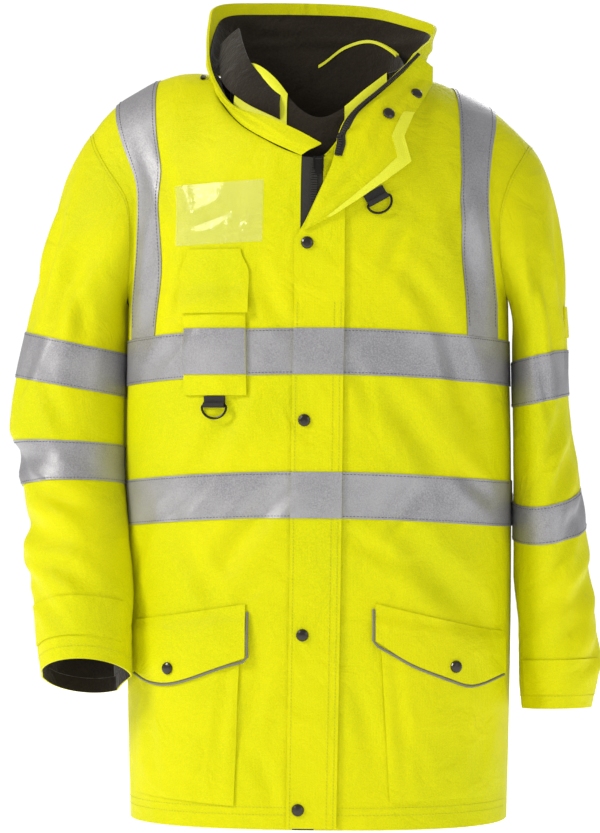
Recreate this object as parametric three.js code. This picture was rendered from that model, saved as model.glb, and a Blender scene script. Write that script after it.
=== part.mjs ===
// A high-visibility work parka, filled out as it is worn, with nobody in it.
// Millimetres. The front faces -Y, the wearer's left is +X, up is +Z, and the
// origin is the middle of the neck base, level with the neck points.
import * as THREE from 'three';

// Cloth and tape
const CLOTH = 2.0;            // coated polyester with its lining quilted to it
const FLAP_CLOTH = 1.8;       // flaps, tabs and patch pockets
const TAPE = 1.0;             // retroreflective tape, sewn on
const SEAM = 0.3;             // play between two pieces at a seam
const LYING = 0.5;            // play under a piece that lies on a panel
const COLLAR_CLOTH = 3.0;
const LINING = 1.5;

// Body levels
const CHEST_Z = -255;         // level of the underarm points
const HEM_Z = -822;
const HALF_CHEST = 212;       // side seams at chest level
const YOKE_RISE = 200;        // the run of rows between chest and shoulder seam
const BODY_POWER = 2.5;       // squareness of the body's section
const ROUND = 2.2;            // roundness of chest and back towards the shoulders
const ARMHOLE_REACH = 6;      // how quickly the armhole's curve fades inwards
const ARMHOLE_FRONT = 78;
const ARMHOLE_BACK = 74;
const UNDERARM_CURL = 3;      // the underarm seam turns out by this much
const TAPE_WIDTH = 50;
const UPPER_TAPE_TOP = -281.6;
const LOWER_TAPE_TOP = -436.4;
const TAPE_DIP = 12;          // both body tapes are lower at the side seams

// Front closing
const RIGHT_EDGE = 6;         // zip edge of the right front, from the centre line
const LEFT_EDGE = 18;         // zip edge of the left front
const FLAP_FREE = -12;        // storm flap, free edge
const FLAP_SEAM = 42;         // storm flap, sewn edge
const FLAP_LIFT = TAPE + SEAM + SEAM;
const CENTRE_TOP_Z = -98;     // where the zip stands open

const YELLOW = 0xe3e200;
const TAPE_GREY = 0x969496;
const BLACK = 0x2a241a;
const DARK_METAL = 0x2b2926;
const PIPING_GREY = 0x77776e;

const mix = (a, b, t) => a + (b - a) * t;
const clamp = (v, low, high) => Math.min(high, Math.max(low, v));
const smooth = (low, high, v) => {
  const t = clamp((v - low) / (high - low), 0, 1);
  return t * t * (3 - 2 * t);
};
const vec = (x, y, z) => new THREE.Vector3(x, y, z);

// One column of a table at a place between its rows, on a smooth curve.
function between(rows, key, at, name) {
  const last = rows.length - 1;
  let i = 0;
  while (i < last - 1 && at > rows[i + 1][key]) i += 1;
  const slope = (j) => {
    const a = rows[Math.max(0, j - 1)];
    const b = rows[Math.min(last, j + 1)];
    return (b[name] - a[name]) / (b[key] - a[key]);
  };
  const a = rows[i];
  const b = rows[i + 1];
  const run = b[key] - a[key];
  const t = clamp((at - a[key]) / run, 0, 1);
  const t2 = t * t;
  const t3 = t2 * t;
  return (2 * t3 - 3 * t2 + 1) * a[name] + (t3 - 2 * t2 + t) * run * slope(i)
    + (3 * t2 - 2 * t3) * b[name] + (t3 - t2) * run * slope(i + 1);
}

// Body sections by height: half width, depth to the front and to the back, and
// how far the centre front hangs to the wearer's right.
const bodySections = [
  { z: -822, half: 210, front: 150, back: 142, hang: -11 },
  { z: -700, half: 213, front: 151, back: 144, hang: -9 },
  { z: -560, half: 215, front: 150, back: 144, hang: -7 },
  { z: -420, half: 215, front: 150, back: 144, hang: -5 },
  { z: -320, half: 213, front: 149, back: 143, hang: -3.5 },
  { z: -255, half: HALF_CHEST, front: 148, back: 142, hang: -2 },
];

// Neck seam and shoulder seam of each half, from the centre out. `chest` is the
// place at chest level that each point stands over, `out` is away from the centre.
const NECK_POINT = 126;
const frontTops = {
  right: [
    { chest: 0, out: 0, y: -145, z: CENTRE_TOP_Z },
    { chest: 23, out: 25, y: -140, z: -89 },
    { chest: 42, out: 46, y: -132, z: -78 },
    { chest: 70, out: 78, y: -112, z: -58 },
    { chest: 98, out: 102, y: -75, z: -30 },
    { chest: NECK_POINT, out: 114, y: -18, z: 2 },
    { chest: 150, out: 146, y: -8, z: 7 },
    { chest: 170, out: 177, y: -2, z: 0 },
    { chest: 187, out: 203, y: 0, z: -13 },
    { chest: 201, out: 226, y: 0, z: -27 },
    { chest: 209, out: 243, y: 0, z: -43 },
    { chest: 212, out: 255, y: 0, z: -58 },
  ],
  left: [
    { chest: 0, out: 0, y: -145, z: CENTRE_TOP_Z },
    { chest: 18, out: 18, y: -145, z: -95 },
    { chest: 42, out: 42, y: -129, z: -64 },
    { chest: 70, out: 68, y: -106, z: -37 },
    { chest: 98, out: 90, y: -72, z: -20 },
    { chest: NECK_POINT, out: 112, y: -18, z: -4 },
    { chest: 150, out: 130, y: -8, z: -5 },
    { chest: 170, out: 147, y: -2, z: -12 },
    { chest: 187, out: 170, y: 0, z: -23 },
    { chest: 201, out: 193, y: 0, z: -37 },
    { chest: 209, out: 216, y: 0, z: -56 },
    { chest: 212, out: 236, y: 0, z: -75 },
  ],
};
const backNeck = [
  { chest: 0, out: 0, y: 82, z: 16 },
  { chest: 35, out: 34, y: 80, z: 16 },
  { chest: 70, out: 66, y: 68, z: 13 },
  { chest: 98, out: 93, y: 42, z: 8 },
];
const fromNeckPoint = (rows) => rows.filter((row) => row.chest >= NECK_POINT);
const backTops = {
  right: backNeck.concat(fromNeckPoint(frontTops.right)),
  left: backNeck.concat(fromNeckPoint(frontTops.left)),
};

// Armhole seam: how far out it stands at each share of its height.
const armholes = {
  right: [
    { rise: 0, out: 212 }, { rise: 0.25, out: 204 }, { rise: 0.5, out: 203 },
    { rise: 0.62, out: 209 }, { rise: 0.78, out: 231 }, { rise: 0.9, out: 246 },
    { rise: 1, out: 255 },
  ],
  left: [
    { rise: 0, out: 212 }, { rise: 0.25, out: 206 }, { rise: 0.5, out: 204 },
    { rise: 0.62, out: 207 }, { rise: 0.78, out: 216 }, { rise: 0.9, out: 227 },
    { rise: 1, out: 236 },
  ],
};

// Soft folds pressed into a surface. `across` and `along` are the place, `reach`
// and `width` the half length and half width, `turn` the lie in degrees from
// upright, and `depth` is inwards where it is positive.
const bodyFrontFolds = [
  { across: -66, along: -500, reach: 70, width: 13, turn: 38, depth: 2.6 },
  { across: -96, along: -395, reach: 55, width: 12, turn: 30, depth: 1.8 },
  { across: 118, along: -395, reach: 60, width: 13, turn: -32, depth: 2.6 },
  { across: 168, along: -350, reach: 62, width: 12, turn: -18, depth: 3.0 },
  { across: 150, along: -560, reach: 75, width: 15, turn: -40, depth: 2.8 },
  { across: -168, along: -215, reach: 60, width: 11, turn: 10, depth: 3.2 },
  { across: 172, along: -205, reach: 55, width: 11, turn: -12, depth: 2.6 },
];
const bodyBackFolds = [
  { across: -120, along: -380, reach: 75, width: 14, turn: 28, depth: 2.6 },
  { across: 96, along: -400, reach: 70, width: 13, turn: -34, depth: 2.4 },
  { across: 10, along: -600, reach: 95, width: 17, turn: 12, depth: 2.6 },
  { across: -176, along: -205, reach: 60, width: 11, turn: 12, depth: 3.0 },
  { across: 176, along: -215, reach: 60, width: 11, turn: -10, depth: 3.0 },
];

function foldDepth(folds, across, along) {
  let depth = 0;
  for (const fold of folds) {
    const turn = THREE.MathUtils.degToRad(fold.turn);
    const dx = across - fold.across;
    const dz = along - fold.along;
    const side = dx * Math.cos(turn) - dz * Math.sin(turn);
    const length = dx * Math.sin(turn) + dz * Math.cos(turn);
    depth += fold.depth * Math.exp(-((side / fold.width) ** 2) - (length / fold.reach) ** 2);
  }
  return depth;
}

// The body's form. `chest` is a place across, negative on the wearer's right;
// `row` is millimetres below chest level where negative, and runs from 0 to
// YOKE_RISE between chest level and the neck or shoulder seam.
function sectionPoint(chest, z, back) {
  const half = between(bodySections, 'z', z, 'half');
  const depth = between(bodySections, 'z', z, back ? 'back' : 'front');
  const share = chest / HALF_CHEST;
  const hang = back ? 0 : between(bodySections, 'z', z, 'hang') * (1 - share * share);
  const x = half * share + hang;
  const fill = 1 - Math.min(1, Math.abs(x) / half) ** BODY_POWER;
  return vec(x, (back ? 1 : -1) * depth * fill ** (1 / BODY_POWER), z);
}

function armholeDepth(rise, back) {
  const round = Math.max(0, Math.sin(Math.PI * rise ** 0.8)) ** 0.6;
  return (back ? ARMHOLE_BACK : ARMHOLE_FRONT) * round;
}

function formPoint(chest, row, back) {
  if (row <= 0) return sectionPoint(chest, CHEST_Z + row, back);
  const side = chest < 0 ? 'right' : 'left';
  const outward = chest < 0 ? -1 : 1;
  const across = Math.min(Math.abs(chest), HALF_CHEST);
  const tops = (back ? backTops : frontTops)[side];
  const angle = (Math.min(row, YOKE_RISE) / YOKE_RISE) * (Math.PI / 2);
  const rise = Math.sin(angle) ** (2 / ROUND);
  const lean = 1 - Math.max(0, Math.cos(angle)) ** (2 / ROUND);
  const low = sectionPoint(chest, CHEST_Z, back);
  const top = vec(outward * between(tops, 'chest', across, 'out'),
    between(tops, 'chest', across, 'y'), between(tops, 'chest', across, 'z'));
  const point = vec(mix(low.x, top.x, lean), mix(low.y, top.y, lean), mix(low.z, top.z, rise));
  const fade = (across / HALF_CHEST) ** ARMHOLE_REACH;
  const edge = tops[tops.length - 1];
  const edgeOut = mix(HALF_CHEST, edge.out, lean);
  point.x += outward * fade * (between(armholes[side], 'rise', rise, 'out') - edgeOut);
  const facing = back ? 1 : -1;
  const depth = Math.max(0, facing * point.y);
  const wide = armholeDepth(rise, back) * (across / HALF_CHEST) ** 4;
  const filled = Math.cbrt(depth ** 3 + wide ** 3);
  point.y += facing * (filled - depth);
  const nearUnderarm = Math.exp(-((rise / 0.05) ** 2)) * (across / HALF_CHEST) ** 60;
  point.x += outward * UNDERARM_CURL * nearUnderarm;
  return point;
}

function formNormal(chest, row, back) {
  const step = 1.5;
  const limit = HALF_CHEST;
  const a = formPoint(Math.max(-limit, chest - step), row, back);
  const b = formPoint(Math.min(limit, chest + step), row, back);
  const c = formPoint(chest, row - step, back);
  const d = formPoint(chest, Math.min(YOKE_RISE, row + step), back);
  const normal = b.sub(a).cross(d.sub(c));
  return normal.multiplyScalar(back ? -1 : 1).normalize();
}

// Direction of the wall at the armhole seam, shared by body and sleeve.
function armholeNormal(chest, row) {
  const back = false;
  const point = formPoint(chest, row, back);
  const top = formPoint(chest, YOKE_RISE, back).z;
  const middle = (top + CHEST_Z) / 2;
  const share = (point.z - CHEST_Z) / (top - CHEST_Z);
  const radial = vec(0, point.y / ARMHOLE_FRONT, (point.z - middle) / ((top - CHEST_Z) / 2));
  radial.normalize();
  radial.x = Math.sign(chest) * mix(0.3, 0.75, share);
  return radial.normalize();
}

function bodyNormal(chest, row, back) {
  const edge = Math.abs(chest) >= HALF_CHEST;
  if (edge && row <= 0) {
    const normal = formNormal(chest, row, back);
    normal.y = 0;
    if (row > -1) normal.add(armholeNormal(chest, 0));
    return normal.normalize();
  }
  if (edge) {
    const normal = armholeNormal(chest, row);
    if (back) normal.y = Math.abs(normal.y);
    return normal;
  }
  if (row >= YOKE_RISE && Math.abs(chest) >= NECK_POINT) {
    const a = formPoint(chest - 1, YOKE_RISE, back);
    const b = formPoint(chest + 1, YOKE_RISE, back);
    const along = b.sub(a).normalize();
    return vec(-along.z, 0, along.x).normalize();
  }
  return formNormal(chest, row, back);
}

// A point of the body's cloth, folds included, moved out by `lift`.
function bodyPoint(chest, row, back, lift = 0) {
  const point = formPoint(chest, row, back);
  const folds = back ? bodyBackFolds : bodyFrontFolds;
  const edge = 1 - smooth(0.86, 0.98, Math.abs(chest) / HALF_CHEST);
  const depth = foldDepth(folds, point.x, point.z) * edge;
  return point.addScaledVector(bodyNormal(chest, row, back), lift - depth);
}

// The place on the front that is seen at (x, z) from straight ahead.
function placeOnFront(x, z) {
  let chest = x;
  let row = z < CHEST_Z ? z - CHEST_Z : (z - CHEST_Z) * 0.85;
  for (let turn = 0; turn < 14; turn += 1) {
    const here = formPoint(chest, row, false);
    const across = formPoint(chest + 1, row, false).sub(here);
    const step = row > YOKE_RISE - 2 ? -1 : 1;
    const up = formPoint(chest, row + step, false).sub(here).multiplyScalar(step);
    const det = across.x * up.z - across.z * up.x;
    const dx = x - here.x;
    const dz = z - here.z;
    chest = clamp(chest + (dx * up.z - dz * up.x) / det, -HALF_CHEST + 1, HALF_CHEST - 1);
    row = clamp(row + (dz * across.x - dx * across.z) / det, HEM_Z - CHEST_Z, YOKE_RISE);
  }
  return { chest, row };
}

function onFront(x, z, lift) {
  const place = placeOnFront(x, z);
  return bodyPoint(place.chest, place.row, false, lift);
}

function frontNormal(x, z) {
  const place = placeOnFront(x, z);
  return bodyNormal(place.chest, place.row, false);
}

// A closed solid from rows of vertices: every face is a quad of two triangles.
class Solid {
  constructor() {
    this.points = [];
    this.faces = [];
  }

  grid(rows) {
    return rows.map((row) => row.map((point) => this.points.push(point) - 1));
  }

  quad(a, b, c, d) {
    this.faces.push([a, b, c], [a, c, d]);
  }

  geometry() {
    let volume = 0;
    for (const [a, b, c] of this.faces) {
      const normal = this.points[b].clone().cross(this.points[c]);
      volume += this.points[a].dot(normal);
    }
    const flip = volume < 0;
    const index = this.faces.flatMap(([a, b, c]) => (flip ? [a, c, b] : [a, b, c]));
    const geometry = new THREE.BufferGeometry();
    const values = this.points.flatMap((point) => [point.x, point.y, point.z]);
    geometry.setAttribute('position', new THREE.Float32BufferAttribute(values, 3));
    geometry.setIndex(index);
    geometry.computeVertexNormals();
    return geometry;
  }
}

// A sheet of cloth between two grids of points.
function sheet(outer, inner) {
  const solid = new Solid();
  const a = solid.grid(outer);
  const b = solid.grid(inner);
  const rows = outer.length - 1;
  const columns = outer[0].length - 1;
  for (let i = 0; i < rows; i += 1) {
    for (let j = 0; j < columns; j += 1) {
      solid.quad(a[i][j], a[i][j + 1], a[i + 1][j + 1], a[i + 1][j]);
      solid.quad(b[i][j], b[i + 1][j], b[i + 1][j + 1], b[i][j + 1]);
    }
    solid.quad(a[i][0], a[i + 1][0], b[i + 1][0], b[i][0]);
    solid.quad(a[i][columns], b[i][columns], b[i + 1][columns], a[i + 1][columns]);
  }
  for (let j = 0; j < columns; j += 1) {
    solid.quad(a[0][j], b[0][j], b[0][j + 1], a[0][j + 1]);
    solid.quad(a[rows][j], a[rows][j + 1], b[rows][j + 1], b[rows][j]);
  }
  return solid.geometry();
}

// A tube of cloth between two grids whose rows close on themselves.
function sleeve(outer, inner) {
  const solid = new Solid();
  const a = solid.grid(outer);
  const b = solid.grid(inner);
  const rows = outer.length - 1;
  const around = outer[0].length;
  for (let j = 0; j < around; j += 1) {
    const k = (j + 1) % around;
    for (let i = 0; i < rows; i += 1) {
      solid.quad(a[i][j], a[i][k], a[i + 1][k], a[i + 1][j]);
      solid.quad(b[i][j], b[i + 1][j], b[i + 1][k], b[i][k]);
    }
    solid.quad(a[0][j], b[0][j], b[0][k], a[0][k]);
    solid.quad(a[rows][j], a[rows][k], b[rows][k], b[rows][j]);
  }
  return solid.geometry();
}

const jacket = new THREE.Group();

function add(name, geometry, color, roughness = 0.8, metalness = 0) {
  const material = new THREE.MeshStandardMaterial({ color, roughness, metalness });
  const mesh = new THREE.Mesh(geometry, material);
  mesh.name = name;
  jacket.add(mesh);
  return mesh;
}

// Body panels
const frontColumns = {
  right: [RIGHT_EDGE, 23, 42, 70, 98, 126, 150, 170, 187, 201, 209, 212],
  left: [LEFT_EDGE, 30, 42, 70, 98, 126, 150, 170, 187, 201, 209, 212],
};
const backHalf = [0, 35, 70, 98, 126, 150, 170, 187, 201, 209, 212];
const backColumns = backHalf.slice(1).reverse().map((chest) => -chest).concat(backHalf);
const yokeRows = [6, 16, 30, 48, 70, 94, 120, 146, 172, 200];
const lowerRows = [HEM_Z, -792, -745, -700, -655, -612, -575, -530,
  LOWER_TAPE_TOP - TAPE_WIDTH, LOWER_TAPE_TOP, -384,
  UPPER_TAPE_TOP - TAPE_WIDTH, UPPER_TAPE_TOP, CHEST_Z];
const bodyRows = lowerRows.map((z) => z - CHEST_Z).concat(yokeRows);
const rowOf = (z) => lowerRows.indexOf(z);

// The tapes, and the rows that carry them, dip towards the side seams.
function dippedRow(row, chest) {
  const z = CHEST_Z + row;
  const taped = smooth(-575, -500, z) * (1 - smooth(-275, -257, z));
  return row - TAPE_DIP * taped * Math.abs(chest / HALF_CHEST) ** 2.2;
}

function panelPoints(columns, rows, back, lift) {
  return rows.map((row) => columns.map((chest) => {
    const point = bodyPoint(chest, dippedRow(row, chest), back, lift);
    const side = Math.abs(chest) >= HALF_CHEST;
    const shoulder = row >= YOKE_RISE && Math.abs(chest) >= NECK_POINT;
    if ((side && row <= 0) || shoulder) point.y += (back ? 1 : -1) * (SEAM / 2);
    return point;
  }));
}

function panel(columns, rows, back, lift, thick) {
  return sheet(panelPoints(columns, rows, back, lift + thick), panelPoints(columns, rows, back, lift));
}

const signed = (side, columns) => columns.map((chest) => (side === 'right' ? -chest : chest));
for (const side of ['right', 'left']) {
  const columns = signed(side, frontColumns[side]);
  add(`front_${side}`, panel(columns, bodyRows, false, -CLOTH, CLOTH), YELLOW);
}
add('back', panel(backColumns, bodyRows, true, -CLOTH, CLOTH), YELLOW);

// Body tapes
const tapeRows = (top) => bodyRows.slice(rowOf(top - TAPE_WIDTH), rowOf(top) + 1);
for (const [level, top] of [['upper', UPPER_TAPE_TOP], ['lower', LOWER_TAPE_TOP]]) {
  for (const side of ['right', 'left']) {
    const columns = signed(side, frontColumns[side]);
    add(`tape_${level}_front_${side}`, panel(columns, tapeRows(top), false, SEAM, TAPE), TAPE_GREY, 0.45);
  }
  add(`tape_${level}_back`, panel(backColumns, tapeRows(top), true, SEAM, TAPE), TAPE_GREY, 0.45);
}

// Shoulder tapes, from the upper body tape to the shoulder seam, front and back
const braceColumns = [170, 187, 201];
const braceRows = [UPPER_TAPE_TOP - CHEST_Z + SEAM, 0].concat(yokeRows);
for (const side of ['right', 'left']) {
  const columns = signed(side, braceColumns);
  add(`brace_front_${side}`, panel(columns, braceRows, false, SEAM, TAPE), TAPE_GREY, 0.45);
  columns.sort((a, b) => a - b);
  add(`brace_back_${side}`, panel(columns, braceRows, true, SEAM, TAPE), TAPE_GREY, 0.45);
}

// Storm flap over the zip, up to the line where its top is turned back
const flapColumns = [FLAP_FREE, 0, 14, 28, FLAP_SEAM];
const flapTops = [
  { chest: FLAP_FREE, z: -186 }, { chest: 0, z: -166 }, { chest: 14, z: -136 },
  { chest: 28, z: -104 }, { chest: FLAP_SEAM, z: -76 },
];
const flapLower = lowerRows.map((z) => z - CHEST_Z + (z === HEM_Z ? 2 : 0));
const flapUpperShares = [0.25, 0.5, 0.75, 1];
function flapPoints(rows, lift) {
  return rows.map((row) => flapColumns.map((chest) => bodyPoint(chest, dippedRow(row, chest), false, lift)));
}
function flapWithTop(lift) {
  const lower = flapPoints(flapLower, lift);
  const upper = flapUpperShares.map((share) => flapColumns.map((chest) => {
    const z = between(flapTops, 'chest', chest, 'z');
    const x = formPoint(chest, 0, false).x;
    const place = placeOnFront(x, mix(CHEST_Z, z, share));
    return bodyPoint(place.chest, place.row, false, lift);
  }));
  return lower.concat(upper);
}
add('storm_flap', sheet(flapWithTop(FLAP_LIFT + CLOTH), flapWithTop(FLAP_LIFT)), YELLOW);
const FLAP_FACE = FLAP_LIFT + CLOTH;
for (const [level, top] of [['upper', UPPER_TAPE_TOP], ['lower', LOWER_TAPE_TOP]]) {
  const outer = flapPoints(tapeRows(top), FLAP_FACE + SEAM + TAPE);
  add(`tape_${level}_flap`, sheet(outer, flapPoints(tapeRows(top), FLAP_FACE + SEAM)), TAPE_GREY, 0.45);
}

// Sleeves. `down` is the depth of a ring's middle below the neck, `out` and `y`
// its place, `rx` and `ry` its half sizes, `roll` and `pitch` how much its outer
// side and its front stand higher.
const ARM_START = 290;
const AROUND = 20;
const arms = {
  right: [
    { down: 290, out: 268, y: 0, rx: 60, ry: 76, roll: 0.22, pitch: 0 },
    { down: 345, out: 275, y: -4, rx: 66, ry: 75, roll: 0.18, pitch: 0.02 },
    { down: 392, out: 277, y: -12, rx: 69, ry: 73, roll: 0.08, pitch: 0.05 },
    { down: 436, out: 271, y: -26, rx: 61, ry: 70, roll: 0, pitch: 0.1 },
    { down: 480, out: 263, y: -40, rx: 60, ry: 68, roll: 0, pitch: 0.16 },
    { down: 535, out: 260, y: -58, rx: 62, ry: 66, roll: 0, pitch: 0.24 },
    { down: 580, out: 252, y: -73, rx: 58, ry: 62, roll: 0, pitch: 0.32 },
    { down: 625, out: 250, y: -86, rx: 54, ry: 57, roll: 0, pitch: 0.4 },
    { down: 662, out: 248, y: -96, rx: 51, ry: 54, roll: 0, pitch: 0.43 },
  ],
  left: [
    { down: 290, out: 246, y: 14, rx: 30, ry: 90, roll: 0.24, pitch: 0 },
    { down: 345, out: 247, y: 14, rx: 31, ry: 88, roll: 0.22, pitch: 0 },
    { down: 379, out: 248, y: 12, rx: 32, ry: 86, roll: 0.2, pitch: -0.06 },
    { down: 434, out: 252, y: 9, rx: 36, ry: 81, roll: 0.16, pitch: -0.15 },
    { down: 476, out: 255, y: 6, rx: 39, ry: 77, roll: 0.14, pitch: -0.18 },
    { down: 544, out: 260, y: 2, rx: 43, ry: 71, roll: 0.1, pitch: -0.1 },
    { down: 597, out: 263, y: -2, rx: 45, ry: 65, roll: 0.06, pitch: 0 },
    { down: 650, out: 268, y: -6, rx: 46, ry: 60, roll: 0.03, pitch: 0.05 },
    { down: 700, out: 266, y: -8, rx: 39, ry: 56, roll: 0.02, pitch: 0.05 },
  ],
};
const sleeveFolds = {
  right: [
    { across: 40, along: 180, reach: 80, width: 15, turn: 4, depth: 6 },
    { across: 78, along: 210, reach: 70, width: 13, turn: -6, depth: 7 },
    { across: 118, along: 255, reach: 60, width: 13, turn: 10, depth: 6 },
    { across: 30, along: 425, reach: 45, width: 12, turn: 78, depth: 4 },
    { across: 70, along: 520, reach: 60, width: 13, turn: 68, depth: 6 },
    { across: 95, along: 560, reach: 55, width: 12, turn: 60, depth: 5 },
    { across: -20, along: 505, reach: 30, width: 14, turn: 80, depth: 6 },
    { across: -150, along: 300, reach: 80, width: 16, turn: 12, depth: 5 },
    { across: -120, along: 470, reach: 55, width: 14, turn: 70, depth: 4 },
  ],
  left: [
    { across: 30, along: 190, reach: 70, width: 13, turn: 6, depth: 4 },
    { across: 62, along: 250, reach: 75, width: 13, turn: -8, depth: 5 },
    { across: 50, along: 430, reach: 40, width: 12, turn: 62, depth: 4 },
    { across: 45, along: 570, reach: 55, width: 13, turn: 66, depth: 5 },
    { across: 70, along: 610, reach: 45, width: 11, turn: 55, depth: 4 },
    { across: -110, along: 280, reach: 75, width: 15, turn: 10, depth: 5 },
    { across: -100, along: 480, reach: 60, width: 14, turn: 68, depth: 4 },
  ],
};
const SLEEVE_CLEAR = 3.2;     // play between sleeve and body
const POCKET_CLEAR = 11;      // more beside the pockets

// Pushes a sleeve point out of the body's section, with play.
function clearOfBody(point) {
  if (point.z > CHEST_Z + 4) return point;
  const z = clamp(point.z, HEM_Z, CHEST_Z);
  const play = mix(POCKET_CLEAR, SLEEVE_CLEAR, smooth(-610, -550, point.z));
  const half = between(bodySections, 'z', z, 'half') + play;
  const depth = between(bodySections, 'z', z, point.y < 0 ? 'front' : 'back') + play;
  const reach = (Math.abs(point.x) / half) ** BODY_POWER + (Math.abs(point.y) / depth) ** BODY_POWER;
  if (reach >= 1) return point;
  const grow = reach ** (-1 / BODY_POWER);
  return vec(point.x * grow, point.y * grow, point.z);
}

function armRing(side, down, angle) {
  const outward = side === 'right' ? -1 : 1;
  const at = (name) => between(arms[side], 'down', down, name);
  const x = Math.cos(angle) * at('rx');
  const y = -Math.sin(angle) * at('ry');
  return vec(outward * (at('out') + x), at('y') + y, -down + at('roll') * x - at('pitch') * y);
}

const armholeRows = [YOKE_RISE].concat(yokeRows.slice(0, -1).reverse(), [0]);
function armholePoint(side, index) {
  const back = index > AROUND / 2;
  const row = armholeRows[back ? AROUND - index : index];
  const chest = side === 'right' ? -HALF_CHEST : HALF_CHEST;
  const normal = bodyNormal(chest, Math.max(row, 0.001), back);
  const point = formPoint(chest, row, back);
  point.x += Math.sign(chest) * SEAM * 1.3;
  return { point, normal };
}

function sleevePoint(side, down, index) {
  const angle = (index / AROUND) * Math.PI * 2;
  if (down >= ARM_START) return clearOfBody(armRing(side, down, angle));
  const outward = side === 'right' ? -1 : 1;
  const start = armholePoint(side, index).point;
  const end = armRing(side, ARM_START, angle);
  const t = down / ARM_START;
  const length = start.distanceTo(end);
  const over = (1 + Math.cos(angle)) / 2;
  const leave = vec(outward * mix(0.55, 0.66, over), -0.25 * Math.sin(angle), -mix(0.8, 0.75, over));
  const arrive = armRing(side, ARM_START + 30, angle).sub(end).normalize();
  const t2 = t * t;
  const t3 = t2 * t;
  const point = start.multiplyScalar(2 * t3 - 3 * t2 + 1);
  point.addScaledVector(leave, (t3 - 2 * t2 + t) * length * 0.8);
  point.addScaledVector(end, 3 * t2 - 2 * t3);
  point.addScaledVector(arrive, (t3 - t2) * length * 0.9);
  return clearOfBody(point);
}

const sleeveRows = {
  right: [0, 24, 54, 90, 130, 172, 214, 255, 295, 320, 345, 376, 408, 431, 455, 482, 508,
    535, 562, 592, 614, 636, 662],
  left: [0, 24, 54, 90, 130, 172, 212, 250, 273, 296, 310, 335, 360, 395, 430, 461, 483, 505, 535,
    565, 595, 622, 646, 684, 700],
};

function sleeveGrid(side) {
  const folds = sleeveFolds[side];
  const rows = sleeveRows[side];
  const bare = rows.map((down) => Array.from({ length: AROUND }, (_, j) => sleevePoint(side, down, j)));
  const outward = side === 'right' ? -1 : 1;
  const normals = bare.map((ring, i) => ring.map((point, j) => {
    if (i === 0) return armholePoint(side, j).normal;
    const a = ring[(j + AROUND - 1) % AROUND];
    const b = ring[(j + 1) % AROUND];
    const c = bare[i - 1][j];
    const d = bare[Math.min(rows.length - 1, i + 1)][j];
    return b.clone().sub(a).cross(d.clone().sub(c)).multiplyScalar(outward).normalize();
  }));
  const points = bare.map((ring, i) => ring.map((point, j) => {
    const angle = (j / AROUND) * Math.PI * 2;
    const around = (angle > Math.PI ? angle - Math.PI * 2 : angle) * 66;
    const inner = smooth(0.45, 0.75, Math.abs(angle - Math.PI) / Math.PI);
    const depth = foldDepth(folds, around, rows[i]) * inner * smooth(10, 60, rows[i]);
    return point.clone().addScaledVector(normals[i][j], -depth);
  }));
  return { points, normals };
}

function moved(points, normals, lift) {
  return points.map((row, i) => row.map((point, j) => point.clone().addScaledVector(normals[i][j], lift)));
}

const sleeveTapes = {
  right: { upper: [295, 345], lower: [408, 455] },
  left: { upper: [310, 360], lower: [461, 505] },
};
const cuffTabs = {
  right: { from: 592, to: 636, first: 1, last: 8 },
  left: { from: 646, to: 684, first: 1, last: 8 },
};
const HEM_TURN = 15;          // cloth turned in at the cuff
const SLEEVE_FLAP_TOP = 250;  // flap of the pocket on the wearer's left upper sleeve
const SLEEVE_FLAP_DROP = 46;
const CUFF_LINING = 75;       // how deep the lining shows
for (const side of ['right', 'left']) {
  const { points, normals } = sleeveGrid(side);
  const rows = sleeveRows[side];
  add(`sleeve_${side}`, sleeve(points, moved(points, normals, -CLOTH)), YELLOW);
  for (const level of ['upper', 'lower']) {
    const [from, to] = sleeveTapes[side][level];
    const part = [rows.indexOf(from), rows.indexOf(to) + 1];
    const p = points.slice(...part);
    const n = normals.slice(...part);
    add(`tape_${level}_sleeve_${side}`, sleeve(moved(p, n, SEAM + TAPE), moved(p, n, SEAM)), TAPE_GREY, 0.45);
  }
  const tab = cuffTabs[side];
  const cut = (grid) => grid.slice(rows.indexOf(tab.from), rows.indexOf(tab.to) + 1)
    .map((row) => row.slice(tab.first, tab.last + 1));
  add(`cuff_tab_${side}`,
    sheet(moved(cut(points), cut(normals), SEAM + FLAP_CLOTH), moved(cut(points), cut(normals), SEAM)), YELLOW);
  const last = rows.length - 1;
  const towards = (grid, ring, share) => grid[ring].map((point, j) => point.clone().lerp(grid[ring + 1][j], share));
  const span = rows[last] - rows[last - 1];
  const liningRows = (grid) => [grid[last - 4], grid[last - 3], grid[last - 2], grid[last - 1],
    towards(grid, last - 1, 1 - HEM_TURN / span)].slice(rows[last] - rows[last - 4] > CUFF_LINING + 20 ? 1 : 0);
  const p = liningRows(points);
  const n = liningRows(normals);
  add(`cuff_lining_${side}`, sleeve(moved(p, n, -CLOTH - LYING), moved(p, n, -CLOTH - LYING - LINING)), BLACK);
  if (side === 'left') {
    const flapRows = [rows.indexOf(SLEEVE_FLAP_TOP), rows.indexOf(SLEEVE_FLAP_TOP + SLEEVE_FLAP_DROP) + 1];
    const round = (grid) => grid.slice(...flapRows).map((row) => [row[AROUND - 1], row[0], row[1]]);
    add('sleeve_pocket_flap', sheet(moved(round(points), round(normals), LYING + FLAP_CLOTH),
      moved(round(points), round(normals), LYING)), YELLOW);
  }
}

// A piece of cloth lying on the fronts. `place(u, v)` gives x and z, u across and
// v down, and `lift(u, v)` how far its back stands off the panel.
function patch(place, lift, thick, across, down) {
  const grid = (extra) => down.map((v) => across.map((u) => {
    const at = place(u, v);
    return onFront(at.x, at.z, lift(u, v) + extra);
  }));
  return { outer: grid(thick), inner: grid(0) };
}

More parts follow.
